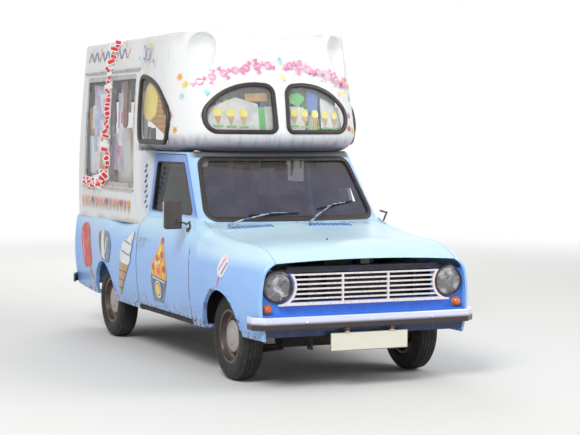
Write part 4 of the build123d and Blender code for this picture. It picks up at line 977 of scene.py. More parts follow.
SIGN_COLOURS = {
    "red": ((206, 60, 44), (222, 112, 90)), "orange": ((232, 160, 44), (240, 190, 90)),
    "yellow": ((240, 214, 92), (244, 228, 140)), "white": ((238, 238, 240), (214, 216, 226)),
    "brown": ((120, 84, 66), (150, 112, 88)), "tan": ((190, 150, 100), (206, 174, 130)),
    "slate": ((96, 118, 140), (128, 148, 164)), "pink": ((226, 132, 172), (238, 190, 212)),
    "teal": ((120, 206, 214), (170, 222, 226)), "navy": ((70, 82, 128), (128, 138, 170)),
}
SIGN_INKS = [sign_paint("sign_" + name, *colours) for name, colours in SIGN_COLOURS.items()]
RED, ORANGE, YELLOW, WHITE, BROWN, TAN, SLATE, PINK, TEAL, NAVY = range(len(SIGN_INKS))
print("sign paints:", len(SIGN_INKS))


# %% Faces that look away from a direction
def turn_faces(bm, into):
    for face in bm.faces:
        face.normal_update()
        if face.normal.dot(into) > 0:
            face.normal_flip()


# %% A picture laid on the body
class Picture:
    CLEAR, HAIR = 0.0012, 0.0004
    START_BACK = 3.0
    UP = Vector((0, 0, 1))

    def __init__(self, name, body, skin, across, into, origin=(0, 0, 0)):
        self.name, self.body, self.skin = name, body, skin
        self.across, self.into, self.origin = Vector(across), Vector(into), Vector(origin)
        self.bm = bmesh.new()
        self.layer = 1

    def shape(self, corners, rounding, colour):
        bm = rounded_face(corners, rounding)
        cut_every(bm, 0.045)
        kept = True
        for vert in bm.verts:
            flat = self.origin + self.across * vert.co.x + self.UP * vert.co.y
            hit = self.skin.ray_cast(flat - self.into * self.START_BACK, self.into)[0]
            kept = kept and hit is not None
            if hit is not None:
                vert.co = hit - self.into * (self.CLEAR + self.layer * self.HAIR)
        if kept:
            joined(self.bm, bm, finish=colour)
            self.layer = self.layer + 1
        else:
            print("a shape of", self.name, "misses the body")
            bm.free()

    def stroke(self, start, end, width, colour):
        run = (Vector(end) - Vector(start)).normalized() * width / 2
        side = Vector((-run.y, run.x))
        start, end = Vector(start) - run, Vector(end) + run
        self.shape([start + side, start - side, end - side, end + side], width * 0.49, colour)

    def oval(self, centre, half_w, half_h, rounding, colour):
        a, b = centre
        self.shape([(a - half_w, b - half_h), (a + half_w, b - half_h), (a + half_w, b + half_h),
                    (a - half_w, b + half_h)], rounding, colour)

    def dot(self, centre, radius, colour):
        self.oval(centre, radius, radius, radius * 0.98, colour)

    def star(self, centre, radius, colour, turn):
        for index in range(3):
            angle = turn + index * math.pi / 3
            run = Vector((math.cos(angle), math.sin(angle))) * radius
            self.stroke(Vector(centre) - run, Vector(centre) + run, radius * 0.42, colour)

    def sweet(self, centre, radius, colour, turn):
        run = Vector((math.cos(turn), math.sin(turn))) * radius
        side = Vector((-run.y, run.x))
        for way in (-1, 1):
            tip = Vector(centre) + run * 0.75 * way
            wide = Vector(centre) + run * 2.0 * way
            self.shape([tip, wide + side * 0.75, wide - side * 0.75], radius * 0.12, colour)
        self.dot(centre, radius, colour)
        self.stroke(Vector(centre) - side * 0.5, Vector(centre) + side * 0.5, radius * 0.22, WHITE)

    def small_cone(self, foot, height, biscuit, scoop):
        a, b = foot
        self.shape([(a, b), (a + height * 0.22, b + height * 0.62), (a - height * 0.22, b + height * 0.62)],
                   height * 0.03, biscuit)
        self.dot((a, b + height * 0.76), height * 0.25, scoop)

    def balloon(self, centre, half_w, half_h, colour):
        a, b = centre
        self.stroke((a, b - half_h), (a + half_w * 0.4, b - half_h * 2.2), 0.006, colour)
        for scale, shade in ((1.0, colour), (0.74, WHITE)):
            self.oval(centre, half_w * scale, half_h * scale, half_w * scale * 0.95, shade)

    def draw(self, *marks):
        """A mark is a paint, a size and points, in millimetres: one point is a dot, two are a stroke."""
        for colour, size, *points in marks:
            size = [radius / 1000 for radius in size] if isinstance(size, tuple) else size / 1000
            points = metres(points)
            if len(points) == 1:
                self.dot(points[0], size, colour)
            elif len(points) == 2:
                self.stroke(*points, size, colour)
            else:
                self.shape(points, size, colour)

    def done(self):
        turn_faces(self.bm, self.into)
        made = object_from(self.bm, self.name, *SIGN_INKS)
        made.data.shade_smooth()
        print("painted", self.name, "with", self.layer - 1, "shapes")
        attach(made, self.body)


# %% [markdown]
# Each treat is a short list of marks from back to front: its stick or biscuit first, then the ice,
# then the shine. The same lists serve both sides, seen from behind on the far one, as if the same
# painter had turned the stencil over.

# %% The treats, y and z in millimetres
LOLLY = (
    (TAN, 34, (1520, 500), (1385, 375)),
    (RED, (60, 100, 100, 60), (1660, 470), (1740, 815), (1490, 835), (1410, 500)),
    (PINK, 26, (1640, 560), (1685, 745)),
)
WAFER = (
    (BROWN, 30, (1150, 660), (1175, 765), (1095, 805), (985, 590), (1030, 570)),
    (WHITE, 30, (1060, 600), (1100, 800), (1020, 812), (930, 570)),
    (SLATE, 50, (960, 575), (1035, 800), (900, 790), (815, 700), (855, 560)),
    (WHITE, 22, (960, 640), (940, 740)),
)
CONE_MOUTH_FRONT, CONE_MOUTH_REAR = Vector((0.585, 0.600)), Vector((0.395, 0.590))
CONE_FOOT_FRONT, CONE_FOOT_REAR = Vector((0.650, 0.345)), Vector((0.640, 0.345))
BISCUIT = ((TAN, (20, 12, 20), (585, 600), (650, 330), (385, 590)),)
SOFT_ICE = (
    (WHITE, 50, (600, 600), (560, 700), (360, 690), (360, 580)),
    (WHITE, 40, (570, 680), (520, 770), (330, 760), (340, 670)),
    (WHITE, (30, 12, 30), (500, 750), (300, 840), (330, 740)),
    (SLATE, 10, (545, 680), (380, 655)),
    (SLATE, 10, (505, 758), (365, 735)),
)
TUB = (
    (SLATE, 16, (-45, 572), (-368, 540), (-262, 375), (-60, 380)),
    (ORANGE, 30, (-60, 560), (-362, 530), (-365, 575), (-288, 805), (-245, 800), (-55, 610)),
    (YELLOW, 34, (-140, 620), (-240, 740)),
    (YELLOW, 28, (-300, 570), (-300, 650)),
    *((RED, 24, spot) for spot in ((-110, 615), (-205, 590), (-310, 610), (-180, 680), (-275, 705),
                                   (-270, 800))),
    (WHITE, 16, (-205, 640), (-245, 660)),
    *((colour, size, (-190, 465)) for colour, size in ((WHITE, 60), (RED, 48), (YELLOW, 38))),
    (WHITE, 10, (-100, 545), (-330, 522)),
)
WRAPPED_SWEET = (
    (WHITE, 30, (-1285, 640), (-1270, 700), (-1330, 785), (-1400, 800), (-1430, 725), (-1360, 650)),
    (PINK, 14, (-1300, 690), (-1375, 765)),
    (SLATE, 12, (-1335, 665), (-1405, 735)),
    (PINK, 18, (-1300, 645), (-1275, 590)),
)


# %% Treats on the blue sides
def side_pictures(side, out):
    along_side, into = (0, 1, 0), (-out, 0, 0)
    art = Picture("lolly_and_wafer_" + side, "body", skin_of("rear_quarter_" + side), along_side, into)
    art.draw(*LOLLY, *WAFER, *BISCUIT)
    for share in (0.25, 0.5, 0.75):
        front = CONE_MOUTH_FRONT.lerp(CONE_FOOT_FRONT, share)
        rear = CONE_MOUTH_REAR.lerp(CONE_FOOT_REAR, share)
        art.stroke(front, rear, 0.009, BROWN)
    art.draw(*SOFT_ICE)
    art.done()
    for name, body, node, marks in (("tub_picture_", "door_" + side, "door_", TUB),
                                    ("small_treat_", "body", "front_wing_", WRAPPED_SWEET)):
        art = Picture(name + side, body, skin_of(node + side), along_side, into)
        art.draw(*marks)
        art.done()


for side, out in SIDES:
    side_pictures(side, out)

# %% [markdown]
# Over the pod's windows runs an arc of wrapped sweets, and stars stand at its corners. Along the
# white sides go zigzags, balloons and a row of small cones. Spacing by a loop keeps the even rhythm
# that a stencil gives.

# %% Sweets and stars on the pod's front
SWEET_ROWS, SWEETS_IN_ROW = ((-0.530, -0.075), (0.085, 0.530)), 7
SWEET_ARC_Z, SWEET_ARC_DROP = 1.985, 0.42
pod_skin = skin_of("pod")
art = Picture("pod_sweets", "body", pod_skin, (1, 0, 0), (0, 1, 0))
for start, end in SWEET_ROWS:
    for index in range(SWEETS_IN_ROW):
        x = start + (end - start) * index / (SWEETS_IN_ROW - 1)
        art.sweet(Vector((x, SWEET_ARC_Z - SWEET_ARC_DROP * x * x)), 0.025, PINK, 0.5 + index * 0.9)
for x, z, colour in ((-0.500, 1.800, TEAL), (0.500, 1.800, YELLOW), (0.02, 1.90, YELLOW),
                     (0.005, 2.02, TEAL)):
    art.star((x, z), 0.018, colour, 0.4)
art.done()

# %% Stars at the pod's corners
CORNER_STARS = ((0.02, 1.770, TEAL), (0.06, 1.545, ORANGE), (0.10, 1.650, PINK), (0.05, 1.900, ORANGE),
                (0.00, 1.850, YELLOW), (0.13, 1.560, RED))


def corner_stars(side, out):
    into = Vector((-out, 0.75, 0)).normalized()
    along = Vector((0, 0, 1)).cross(into) * -out
    art = Picture("pod_stars_" + side, "body", pod_skin, along, into, (out * 0.62, -0.36, 0))
    for a, b, colour in CORNER_STARS:
        art.star((-out * a, b), 0.021, colour, a * 20)
    art.done()


# %% Zigzags, small cones, balloons and stars along the white sides
SIDE_STARS = ((0.04, 2.02, NAVY), (0.20, 1.965, YELLOW), (0.11, 2.13, ORANGE), (0.32, 2.05, TEAL))
SCOOPS = (ORANGE, PINK, BROWN, PINK)


def side_motifs(side, out):
    white_side = skin_of("pod", "side_moulding_" + side, "roof_moulding")
    art = Picture("side_motifs_" + side, "body", white_side, (0, 1, 0), (-out, 0, 0))
    for index in range(15):
        y = 0.62 + index * 0.066
        rise = 0.030 if index % 2 else -0.030
        art.stroke((y, 2.100 - rise), (y + 0.050, 2.100 + rise), 0.014, NAVY if index % 5 else ORANGE)
        if index % 3 == 1:
            art.dot((y + 0.025, 2.155), 0.011, YELLOW if index % 2 else ORANGE)
    for index in range(14):
        art.small_cone((0.515 + index * 0.082, 0.942), 0.098, TAN, SCOOPS[index % 4])
    art.balloon((0.245, 2.085), 0.020, 0.052, NAVY)
    art.balloon((0.155, 2.070), 0.018, 0.046, NAVY)
    for a, b, colour in SIDE_STARS:
        art.star((a, b), 0.018, colour, b)
    art.done()


# %% Dots down the front columns
def column_dots(side, out):
    art = Picture("column_dots_" + side, "body", skin_of("side_moulding_" + side), (1, 0, 0), (0, 1, 0))
    for index in range(9):
        x, z = out * (0.668 + 0.009 * (index % 2)), 0.036 * index
        art.stroke((x - 0.004, 1.000 + z), (x + 0.004, 1.014 + z), 0.010, NAVY)
    art.done()


for side, out in SIDES:
    corner_stars(side, out)
    side_motifs(side, out)
    column_dots(side, out)

# %% [markdown]
# ## A garland and cards at the serving windows
#
# A string of red and white card shapes hangs from the roof down the middle post, and along the sill.
# Behind the panes hang dozens of tall cards. Each card is a small bevelled slab, swung and tipped a
# little at random with a fixed seed, so that every run gives the same cards.

# %% Garland
card_red = sign_paint("card_red", (214, 36, 44), (226, 74, 78))
card_white = sign_paint("card_white", (240, 238, 238), (222, 220, 226))
# The route is (y, z) from the roof down the post and back along the sill
GARLAND_ROUTE = [(0.834, 2.185), (0.905, 2.120), (0.960, 2.050), (1.010, 1.992), (1.024, 1.900),
                 (1.020, 1.800), (1.016, 1.700), (1.014, 1.600), (1.012, 1.500), (1.010, 1.400),
                 (1.008, 1.300), (1.030, 1.240), (1.110, 1.185), (1.230, 1.165), (1.340, 1.160),
                 (1.450, 1.160), (1.570, 1.160)]
SILL_DROOP = {"right": 0.055, "left": 0.0}
CARD_STEP, SILL_CLUSTER = 0.036, 3
HEADER_FROM_Z, HEADER_TO_Z = 1.965, 2.0


def garland(side, out):
    bm = bmesh.new()
    random.seed(11)
    for (y0, z0), (y1, z1) in zip(GARLAND_ROUTE, GARLAND_ROUTE[1:]):
        cluster = SILL_CLUSTER if z1 < 1.22 else 1
        count = max(2, round(math.hypot(y1 - y0, z1 - z0) / CARD_STEP)) * cluster
        for step in range(count):
            share = step / count
            y = y0 + (y1 - y0) * share + random.uniform(-0.018, 0.018) * cluster
            z = z0 + (z1 - z0) * share + random.uniform(0.0, 0.034) * (cluster - 1)
            if cluster > 1:
                z -= SILL_DROOP[side]
            swing = random.uniform(0.30, 1.20)
            wide, tall = random.uniform(0.036, 0.074), random.uniform(0.024, 0.050)
            proud = (0.018 if HEADER_FROM_Z < z < HEADER_TO_Z else 0.004) + wide / 2 * math.sin(swing)
            spot = Vector((out * (upper_side(y, z) + proud), y, z))
            turn = Matrix.Rotation(-out * swing, 3, "Z") @ Matrix.Rotation(random.uniform(-0.9, 0.9), 3, "X")
            facing = turn @ Vector((out * 0.0018, 0, 0))
            joined(bm, slab((0.0018, wide, tall), spot, 0.0006, turn, 1), finish=1)
            joined(bm, slab((0.0014, wide * 0.72, tall * 0.66), spot + facing, 0.0005, turn, 1),
                   finish=0 if random.random() < 0.85 else 1)
    put("garland_" + side, bm, "body", card_red, card_white)


# %% Cards and a paddle behind the panes
card_lilac = sign_paint("card_lilac", (196, 184, 220), (222, 214, 234))
card_blue = sign_paint("card_blue", (176, 206, 234), (206, 224, 240))
CARDS, CARDS_IN_REAR_PANE = 84, 60
SILL_Z, HEAD_Z = 1.18, 1.90
PADDLE = [(0.70, 1.56), (0.79, 1.56), (0.83, 1.90), (0.74, 1.92)]


def window_cards(side, out):
    bm = bmesh.new()
    random.seed(23)
    for index in range(CARDS):
        if index < CARDS_IN_REAR_PANE:
            y = random.uniform(1.06, 1.57)
        else:
            y = random.choice((random.uniform(0.90, 0.99), random.uniform(0.46, 0.66)))
        wide, tall = random.uniform(0.030, 0.085), random.uniform(0.09, 0.30)
        z = random.uniform(SILL_Z + tall / 2, HEAD_Z - tall / 2)
        swing = random.uniform(0.2, 0.9)
        x = out * (upper_side(y, z) - 0.026 - wide / 2 * math.sin(swing) - index * 0.0006)
        turn = Matrix.Rotation(-out * swing, 3, "Z") @ Matrix.Rotation(random.uniform(-0.10, 0.10), 3, "X")
        joined(bm, slab((0.0012, wide, tall), (x, y, z), 0.0005, turn, 1),
               finish=random.choice((0, 0, 1, 1, 1, 2, 3, 4)))
    paddle = thickened(rounded_face(PADDLE, [0.045, 0.045, 0.03, 0.03]), 0.012)
    joined(bm, wrap(paddle, side, upper_side, -0.045), finish=5)
    joined(bm, bar_between((out * 0.640, 0.700, 1.56), (out * 0.640, 0.650, 1.36), 0.009), finish=4)
    put("window_cards_" + side, bm, "body", card_lilac, card_white, card_blue, SIGN_INKS[PINK],
        SIGN_INKS[TAN], SIGN_INKS[BROWN])


# %% [markdown]
# Each side window of the pod shows a moulded cone shape close behind its glass. Two rounded outlines
# with a puffed edge give it: a flat sticker would show no shade, and a full round cone would need
# more room than there is.

# %% A moulded cone behind each side window of the pod
cone_yellow = sign_paint("cone_yellow", (246, 224, 110), (250, 236, 160))
biscuit = Finish("cone_biscuit", (206, 152, 74), 0.4)
for axis in ("Y", "Z"):
    biscuit.paint((140, 92, 44), biscuit.ramp(biscuit.stripes(axis, 9), 0.72, 0.86), 0.6)
BISCUIT_SHAPE = metres([(75, 1840), (-165, 1490), (180, 1600)])
WHIRL_SHAPE = metres([(215, 1895), (100, 1870), (58, 1750), (85, 1640), (170, 1600), (285, 1620), (326, 1700),
                      (308, 1830)])
WHIRL_RADII = [0.05, 0.08, 0.12, 0.06, 0.05, 0.05, 0.12, 0.10]


def puffed(corners, radii, thick, side, depth):
    return wrap(thickened(rounded_face(corners, radii), thick, thick * 0.7, 4), side, upper_side, -depth)


for side, out in SIDES:
    bm = bmesh.new()
    joined(bm, puffed(BISCUIT_SHAPE, [0.012, 0.008, 0.020], 0.012, side, 0.046), finish=1)
    joined(bm, puffed(WHIRL_SHAPE, WHIRL_RADII, 0.018, side, 0.040))
    put("window_cone_" + side, bm, "body", cone_yellow, biscuit)

# %% [markdown]
# Boxes of stock stand on the counters behind the serving windows. A running start that grows by each
# box's own width packs them edge to edge, whatever sizes the seed deals out.

# %% Boxes of stock on the counters
card_olive = sign_paint("card_olive", (118, 116, 70), (140, 136, 90))
STOCK_FROM_Y, STOCK_TO_Y = {"left": 0.66, "right": 1.09}, 1.55
STOCK_X, STOCK_FOOT_Z = 0.56, 1.0602


def counter_stock(side, out):
    bm = bmesh.new()
    random.seed(31)
    y = STOCK_FROM_Y[side]
    while y < STOCK_TO_Y:
        wide, deep, tall = random.uniform(0.07, 0.13), random.uniform(0.08, 0.15), random.uniform(0.10, 0.42)
        middle = (out * STOCK_X, y + wide / 2, STOCK_FOOT_Z + tall / 2)
        joined(bm, slab((deep, wide - 0.004, tall), middle, 0.003), finish=random.randrange(4))
        y += wide
    put("counter_stock_" + side, bm, "body", SIGN_INKS[TAN], card_white, card_olive, SIGN_INKS[BROWN])


for side, out in SIDES:
    garland(side, out)
    window_cards(side, out)
    counter_stock(side, out)

# %% [markdown]
# The pod is the shop's store. Cartons stand on a shelf behind its front panes with a board at their
# back, and price cards with cone shapes lean just inside the glass.

# %% Stores in the pod
random.seed(5)
CARTONS = [sign_paint("carton_" + name, *colours) for name, colours in {
    "white": ((222, 222, 218), (196, 196, 192)), "green": ((96, 186, 92), (140, 200, 120)),
    "blue": ((70, 110, 180), (110, 140, 190)), "yellow": ((240, 222, 90), (246, 234, 150))}.items()]
CARTON_ORDER = (0, 3, 0, 1, 0, 3, 2, 0, 3)
CARTON_COUNT, CARTON_STEP, FIRST_CARTON_X = 17, 0.050, -0.40
STORE_SHELF = 1.500
bm = bmesh.new()
for index in range(CARTON_COUNT):
    x = FIRST_CARTON_X + index * CARTON_STEP
    wide, deep, tall = random.uniform(0.036, 0.048), random.uniform(0.05, 0.07), random.uniform(0.10, 0.27)
    y = pod_front(x, STORE_SHELF + tall) + 0.060 + deep / 2
    joined(bm, slab((wide, deep, tall), (x, y, STORE_SHELF + tall / 2), 0.003),
           finish=CARTON_ORDER[index % len(CARTON_ORDER)])
shelf = slab((0.88, 0.090, 0.006), (0, -0.470, STORE_SHELF - 0.003), 0.002)
board = slab((0.96, 0.004, 0.400), (0, -0.400, STORE_SHELF + 0.194), 0.001)
joined(bm, shelf, board)
put("pod_stores", bm, "body", *CARTONS)

# %% Show cards just behind the front panes, in millimetres
# Each row is (paint, corner radius, depth behind the surface, corners)
SHOW_CARDS = (
    (0, 10, 36, (-500, 1535), (-150, 1535), (-150, 1720), (-300, 1765), (-515, 1680)),
    (1, 4, 37, (-150, 1535), (-105, 1535), (-105, 1700), (-150, 1700)),
    (0, 4, 36, (-105, 1535), (-55, 1535), (-55, 1705), (-105, 1705)),
    (4, 4, 48, (-230, 1740), (-75, 1740), (-75, 1800), (-230, 1790)),
    (0, 6, 36, (55, 1535), (190, 1535), (190, 1700), (55, 1710)),
    (1, 20, 36, (75, 1735), (150, 1705), (215, 1770), (150, 1800), (90, 1790)),
    (2, 4, 40, (215, 1670), (300, 1660), (310, 1800), (225, 1815)),
    (0, 8, 38, (320, 1560), (500, 1560), (480, 1700), (330, 1770)),
)
bm = bmesh.new()


def show_card(colour, radius, depth, *corners):
    card = rounded_face(metres(corners), radius / 1000)
    cut_every(card, 0.05)
    joined(bm, wrap(card, "front", pod_front, -depth / 1000), finish=colour)


for card in SHOW_CARDS:
    show_card(*card)
for count, first_x, step in ((3, -425, 85), (5, 110, 82)):
    for index in range(count):
        x, z = first_x + index * step, 1640 - 4 * index
        show_card(4, 3, 33, (x - 24, z), (x, z - 62), (x + 24, z))
        show_card(3, 20, 32, (x - 30, z), (x + 30, z), (x + 24, z + 52), (x - 24, z + 52))
        show_card(1, 3, 34, (x - 34, z - 72), (x + 34, z - 72), (x + 30, z - 60), (x - 30, z - 60))
turn_faces(bm, Vector((0, 1, 0)))
put("show_cards", bm, "body", *CARTONS, SIGN_INKS[TAN])

# %% [markdown]
# ## Seats
#
# A seat cushion is a soft form, fat in the middle and pulled in at its seams. The cloth solver gives
# that shape: a slightly small block is remeshed into even quads, blown up by air pressure for twenty
# frames, and its points are kept from moving too far. Both seats use the same two pads.

# %% Vinyl
vinyl = Finish("seat_vinyl", (44, 43, 46), 0.46)
vinyl.paint((78, 75, 76), vinyl.patches(5, 5, 0.48, 0.75))
vinyl.relief(0.0008, 0.5, vinyl.pores(260))
vinyl.relief(0.004, 0.3, vinyl.noise(14, 4))


# %% The mesh of an object with its modifiers worked in
def settle(made):
    tools = bpy.context.evaluated_depsgraph_get()
    mesh = bpy.data.meshes.new_from_object(made.evaluated_get(tools))
    made.modifiers.clear()
    made.data = mesh
    return mesh


# %% One pad, blown up by the cloth solver
PAD_GRID = 0.012
AIR_PRESSURE, AIR_FRAMES = 4.0, 20
SWELL_LIMIT = 0.024


def pad(name, size, centre, tilt=0.0):
    made = object_from(slab(size, centre, min(size) * 0.22, Matrix.Rotation(tilt, 3, "X"), 3), name)
    remesh = made.modifiers.new("even", "REMESH")
    remesh.mode, remesh.voxel_size = "VOXEL", PAD_GRID
    rest = [v.co.copy() for v in settle(made).vertices]
    cloth = made.modifiers.new("air", "CLOTH")
    cloth.settings.use_pressure = True
    cloth.settings.uniform_pressure_force = AIR_PRESSURE
    cloth.settings.effector_weights.gravity = 0.0
    cloth.settings.quality = 4
    cloth.point_cache.frame_end = AIR_FRAMES
    for moment in range(1, AIR_FRAMES + 1):
        bpy.context.scene.frame_set(moment)
    for vert, start in zip(settle(made).vertices, rest):
        move = vert.co - start
        if move.length > SWELL_LIMIT:
            vert.co = start + move.normalized() * SWELL_LIMIT
    bpy.context.scene.frame_set(1)
    made.data.shade_smooth()
    made.data.materials.clear()
    made.data.materials.append(vinyl.material)
    print("pad", name, "is", [round(length, 3) for length in made.dimensions])
    return made


# %% Two seats
def copy_of(piece, name, shift):
    twin = bpy.data.objects.new(name, piece.data.copy())
    twin.data.transform(Matrix.Translation(shift))
    bpy.context.scene.collection.objects.link(twin)
    return twin


SEAT_X = 0.330
BACK_TILT = math.radians(90) + math.atan2(-0.085, 0.470)
cushion = pad("seat_cushion_right", (0.430, 0.445, 0.072), (-SEAT_X, -0.130, 0.610))
backrest = pad("seat_back_right", (0.410, 0.450, 0.056), (-SEAT_X, 0.141, 0.885), BACK_TILT)
pads = [cushion, backrest, copy_of(cushion, "seat_cushion_left", (2 * SEAT_X, 0, 0)),
        copy_of(backrest, "seat_back_left", (2 * SEAT_X, 0, 0))]
for soft in pads:
    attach(soft, "body")
    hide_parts("seats")

# %% The boxes and posts under them
bm = bmesh.new()
for x in (-SEAT_X, SEAT_X):
    joined(bm, slab((0.380, 0.390, 0.248), (x, -0.135, 0.440), 0.012),
           slab((0.400, 0.440, 0.014), (x, -0.130, 0.566), 0.004))
    for post in (-0.150, 0.150):
        joined(bm, bar_between((x + post, 0.085, 0.560), (x + post, 0.105, 0.690), 0.011))
seat_boxes = put("seat_boxes", bm, "body", dash, slot="seat_vinyl")
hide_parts("seats")

# %% [markdown]
# ## Small fittings
#
# The mirrors' glass, a permit card, lamp bulbs and bumper bolts are small, but they are what the eye
# looks for close up. Each is made from one or two operator shapes, set on what carries it.

# %% Mirrors and the permit card
mirror_glass = Finish("mirror_glass", (200, 206, 210), 0.04, metallic=1.0)
mirror_glass.paint((160, 164, 168), mirror_glass.patches(12, 4, 0.6, 0.8))
bm = bmesh.new()
joined(bm, slab((0.190, 0.016, 0.052), (0.0, -0.440, 1.318), 0.007),
       bar_between((0.0, -0.444, 1.330), (0.0, -0.432, 1.372), 0.006))
joined(bm, slab((0.178, 0.002, 0.042), (0.0, -0.4315, 1.318), 0.0006), finish=1)
put("cab_mirror", bm, "body", dash, mirror_glass)
put("door_mirror_glass", slab((0.128, 0.002, 0.166), (-0.836, -0.7289, 1.000), 0.0008), "door_right",
    mirror_glass)
SCREEN_RAKE = -0.72
permit = slab((0.095, 0.0015, 0.115), on_screen(0.455, 1.110, -0.010), 0.0005,
              Matrix.Rotation(SCREEN_RAKE, 3, "X"), 1)
put("permit_card", permit, "body", card_white)

# %% Bulbs in the headlamps
LAMP_X, LAMP_Z = 0.575, 0.622
bulb_metal = Finish("bowl_metal", (216, 216, 214), 0.12, metallic=1.0)
bulb_metal.paint((150, 140, 130), bulb_metal.patches(30, 4, 0.62, 0.72))
bm = bmesh.new()
for x in (-LAMP_X, LAMP_X):
    joined(bm, bar_between((x, -1.750, LAMP_Z), (x, -1.786, LAMP_Z), 0.010, 0.008),
           ball(0.013, (x, -1.788, LAMP_Z), 20, 12))
put("lamp_bulbs", bm, "body", bulb_metal)

# %% Domed bolts on the bumper
bm = bmesh.new()
for x in (-0.420, 0.420, 0.0):
    joined(bm, ball(0.011, (x, -1.9035, 0.411), 16, 8, 0.55))
put("bumper_bolts", bm, "body", chrome)

# %% [markdown]
# ## Under the bonnet
#
# The engine is one plain mass in the solids. With the bonnet up, the eye finds its cover, air cleaner, hose,
# leads and battery, so these stand on it as simple slabs and bars. A near-black panel and two baffles round
# the radiator keep daylight from showing through the grille, and their near-black is painted shade for the
# dark band under the bonnet lip.

# %% What stands on and beside the engine
rocker_paint = dull_metal("rocker_paint", (122, 128, 134), (70, 62, 56), 0.5, 0.6)
BLACK, GREY = 0, 1
# Each bar is (start, end, radius, sides, paint)
ENGINE_BARS = {
    "oil filler": ((-0.020, -1.370, 0.830), (-0.020, -1.370, 0.844), 0.018, 12, BLACK),
    "air cleaner": ((0.232, -1.370, 0.735), (0.232, -1.150, 0.735), 0.062, 32, GREY),
    "air pipe": ((0.140, -1.260, 0.735), (0.200, -1.260, 0.735), 0.024, 12, BLACK),
    "top hose": ((0.060, -1.555, 0.750), (0.100, -1.704, 0.650), 0.018, 16, BLACK),
    "battery stay": ((0.315, -1.080, 0.345), (0.390, -1.080, 0.590), 0.014, 12, BLACK),
    "distributor": ((-0.205, -1.330, 0.640), (-0.205, -1.330, 0.710), 0.030, 20, BLACK),
    "distributor drive": ((-0.150, -1.330, 0.650), (-0.205, -1.330, 0.650), 0.016, 12, BLACK),
    "first terminal": ((0.390, -1.140, 0.754), (0.390, -1.140, 0.772), 0.010, 12, GREY),
    "second terminal": ((0.490, -1.140, 0.754), (0.490, -1.140, 0.772), 0.010, 12, GREY),
}
PLUG_Y, PLUG_STEP, LEAD_END = -1.480, 0.085, (-0.205, -1.330, 0.700)
rocker_cover = slab((0.150, 0.380, 0.032), (-0.020, -1.260, 0.816), 0.010)
battery = slab((0.170, 0.240, 0.170), (0.440, -1.140, 0.670), 0.006)
bm = bmesh.new()
joined(bm, rocker_cover, finish=GREY)
joined(bm, battery, finish=BLACK)
for start, end, radius, sides, finish in ENGINE_BARS.values():
    joined(bm, bar_between(start, end, radius, sides=sides), finish=finish)
for step in range(4):
    joined(bm, bar_between((-0.150, PLUG_Y + PLUG_STEP * step, 0.740), LEAD_END, 0.0045, sides=8))
put("engine_top", bm, "body", dash, rocker_paint)

# %% The panel and baffles round the radiator, near-black as painted shade
BAFFLE_X = 0.3925
# The panel and baffles are near-black as painted shade.
slam_shade_paint = dull_metal("slam_panel_shade_paint", (22, 26, 42), (44, 42, 46), 0.5)
bm = bmesh.new()
joined(bm, slab((1.020, 0.075, 0.028), (0.0, -1.765, 0.722), 0.005))
for x in (-BAFFLE_X, BAFFLE_X):
    joined(bm, slab((0.335, 0.004, 0.340), (x, -1.716, 0.540), 0.0015),
           bar_between((x, -1.716, 0.700), (x, -1.735, 0.715), 0.006))
put("slam_panel", bm, "body", slam_shade_paint)

# %% [markdown]
# ## The last bright line
#
# A thin bright strip climbs from the scuttle to the foot of each screen post. It is a bar between two
# points, and its lower end is set by the same ray as the wipers, so that it never floats.

# %% Bright strips at the foot of the screen posts
bright_trim = Finish("bright_trim", (212, 212, 214), 0.22, metallic=0.9)
bright_trim.paint((120, 108, 100), bright_trim.patches(30, 5, 0.6, 0.7))
STRIP_FOOT_Y = -0.905
bm = bmesh.new()
for side, out in SIDES:
    foot = Vector((out * 0.6310, STRIP_FOOT_Y, on_top(out * 0.6, STRIP_FOOT_Y) - 0.004))
    joined(bm, bar_between(foot, (out * 0.6295, -0.772, 0.958), 0.0045, sides=8))
put("post_strips", bm, "body", bright_trim)

# %% [markdown]
# ## Floor and light
#
# The floor is plain and pale. It fades to white away from the van, so there is no hard horizon, and
# only the camera, mirrors and glass see that white. One large soft lamp stands high at the front on
# the driver's side, where the sun was, two weaker ones fill the other side and the back, and the sky
# does the rest. The level is set so that a colour renders about as it is written.


# %% Where the camera looks straight, by mirror or through glass
def looked_at(tree):
    rays = shader_node(tree, "LightPath").outputs
    seen = rays["Is Camera Ray"]
    for ray in ("Is Glossy Ray", "Is Transmission Ray"):
        seen = shader_node(tree, "Math", {0: seen, 1: rays[ray]}, operation="MAXIMUM").outputs[0]
    return seen


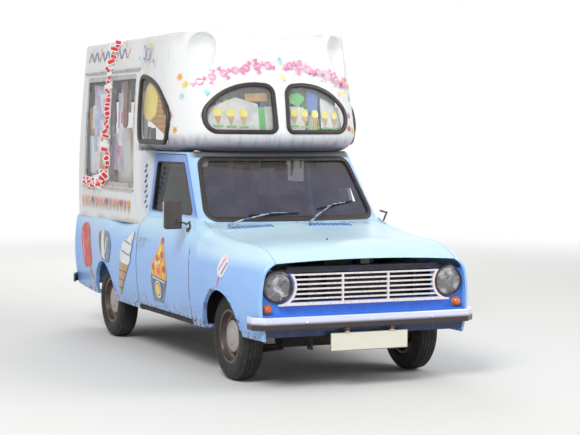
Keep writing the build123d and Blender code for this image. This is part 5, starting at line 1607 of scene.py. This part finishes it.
# %% Floor
FADE_FROM, FADE_TO, FLOOR_RADIUS = 5.0, 13.0, 40.0
stage_floor = Finish("stage_floor", (226, 226, 224), 0.9)
reach = stage_floor.node("VectorMath", {0: stage_floor.spot()}, operation="LENGTH").outputs["Value"]
far_off = stage_floor.ramp(reach, FADE_FROM, FADE_TO)
stage_floor.relief(0.001, 0.05, stage_floor.noise(3, 3))
white_share = stage_floor.times(far_off, looked_at(stage_floor.tree))
blend = stage_floor.node("MixShader", {0: white_share, 1: stage_floor.shader.outputs[0],
                                       2: stage_floor.node("Emission").outputs[0]})
stage_floor.tree.links.new(blend.outputs[0], stage_floor.tree.nodes["Material Output"].inputs["Surface"])
bm = bmesh.new()
bmesh.ops.create_circle(bm, cap_ends=True, segments=96, radius=FLOOR_RADIUS)
floor = object_from(bm, "floor", stage_floor)


# %% Lamps
def soft_lamp(name, place, aim_z, size, watts):
    lamp = bpy.data.objects.new(name, bpy.data.lights.new(name, "AREA"))
    lamp.data.shape, lamp.data.size, lamp.data.energy = "DISK", size, watts
    lamp.location = place
    lamp.rotation_euler = (Vector((0, 0, aim_z)) - Vector(place)).to_track_quat("-Z", "Y").to_euler()
    bpy.context.scene.collection.objects.link(lamp)
    print(name, "gives", watts, "W")


soft_lamp("key_lamp", (-6.0, -7.5, 8.0), 0.9, 4.5, 830)
soft_lamp("fill_lamp", (7.0, -5.0, 5.0), 0.9, 6.0, 330)
soft_lamp("back_lamp", (2.0, 8.0, 6.0), 1.0, 6.0, 340)

# %% A sky that lights gently and is seen as white
SKY_LEVEL = 0.42
WHITE_LIGHT = (1, 1, 1, 1)
world = bpy.data.worlds.new("sky")
bpy.context.scene.world = world
world.use_nodes = True
tree = world.node_tree
sky = tree.nodes["Background"]
sky.inputs["Color"].default_value = WHITE_LIGHT
sky.inputs["Strength"].default_value = SKY_LEVEL
white_view = shader_node(tree, "Background", {"Color": WHITE_LIGHT, "Strength": 1.0})
pick = shader_node(tree, "MixShader", {0: looked_at(tree), 1: sky.outputs[0], 2: white_view.outputs[0]})
tree.links.new(pick.outputs[0], tree.nodes["World Output"].inputs["Surface"])
bpy.context.scene.view_settings.view_transform = "Standard"
print("sky level:", SKY_LEVEL)
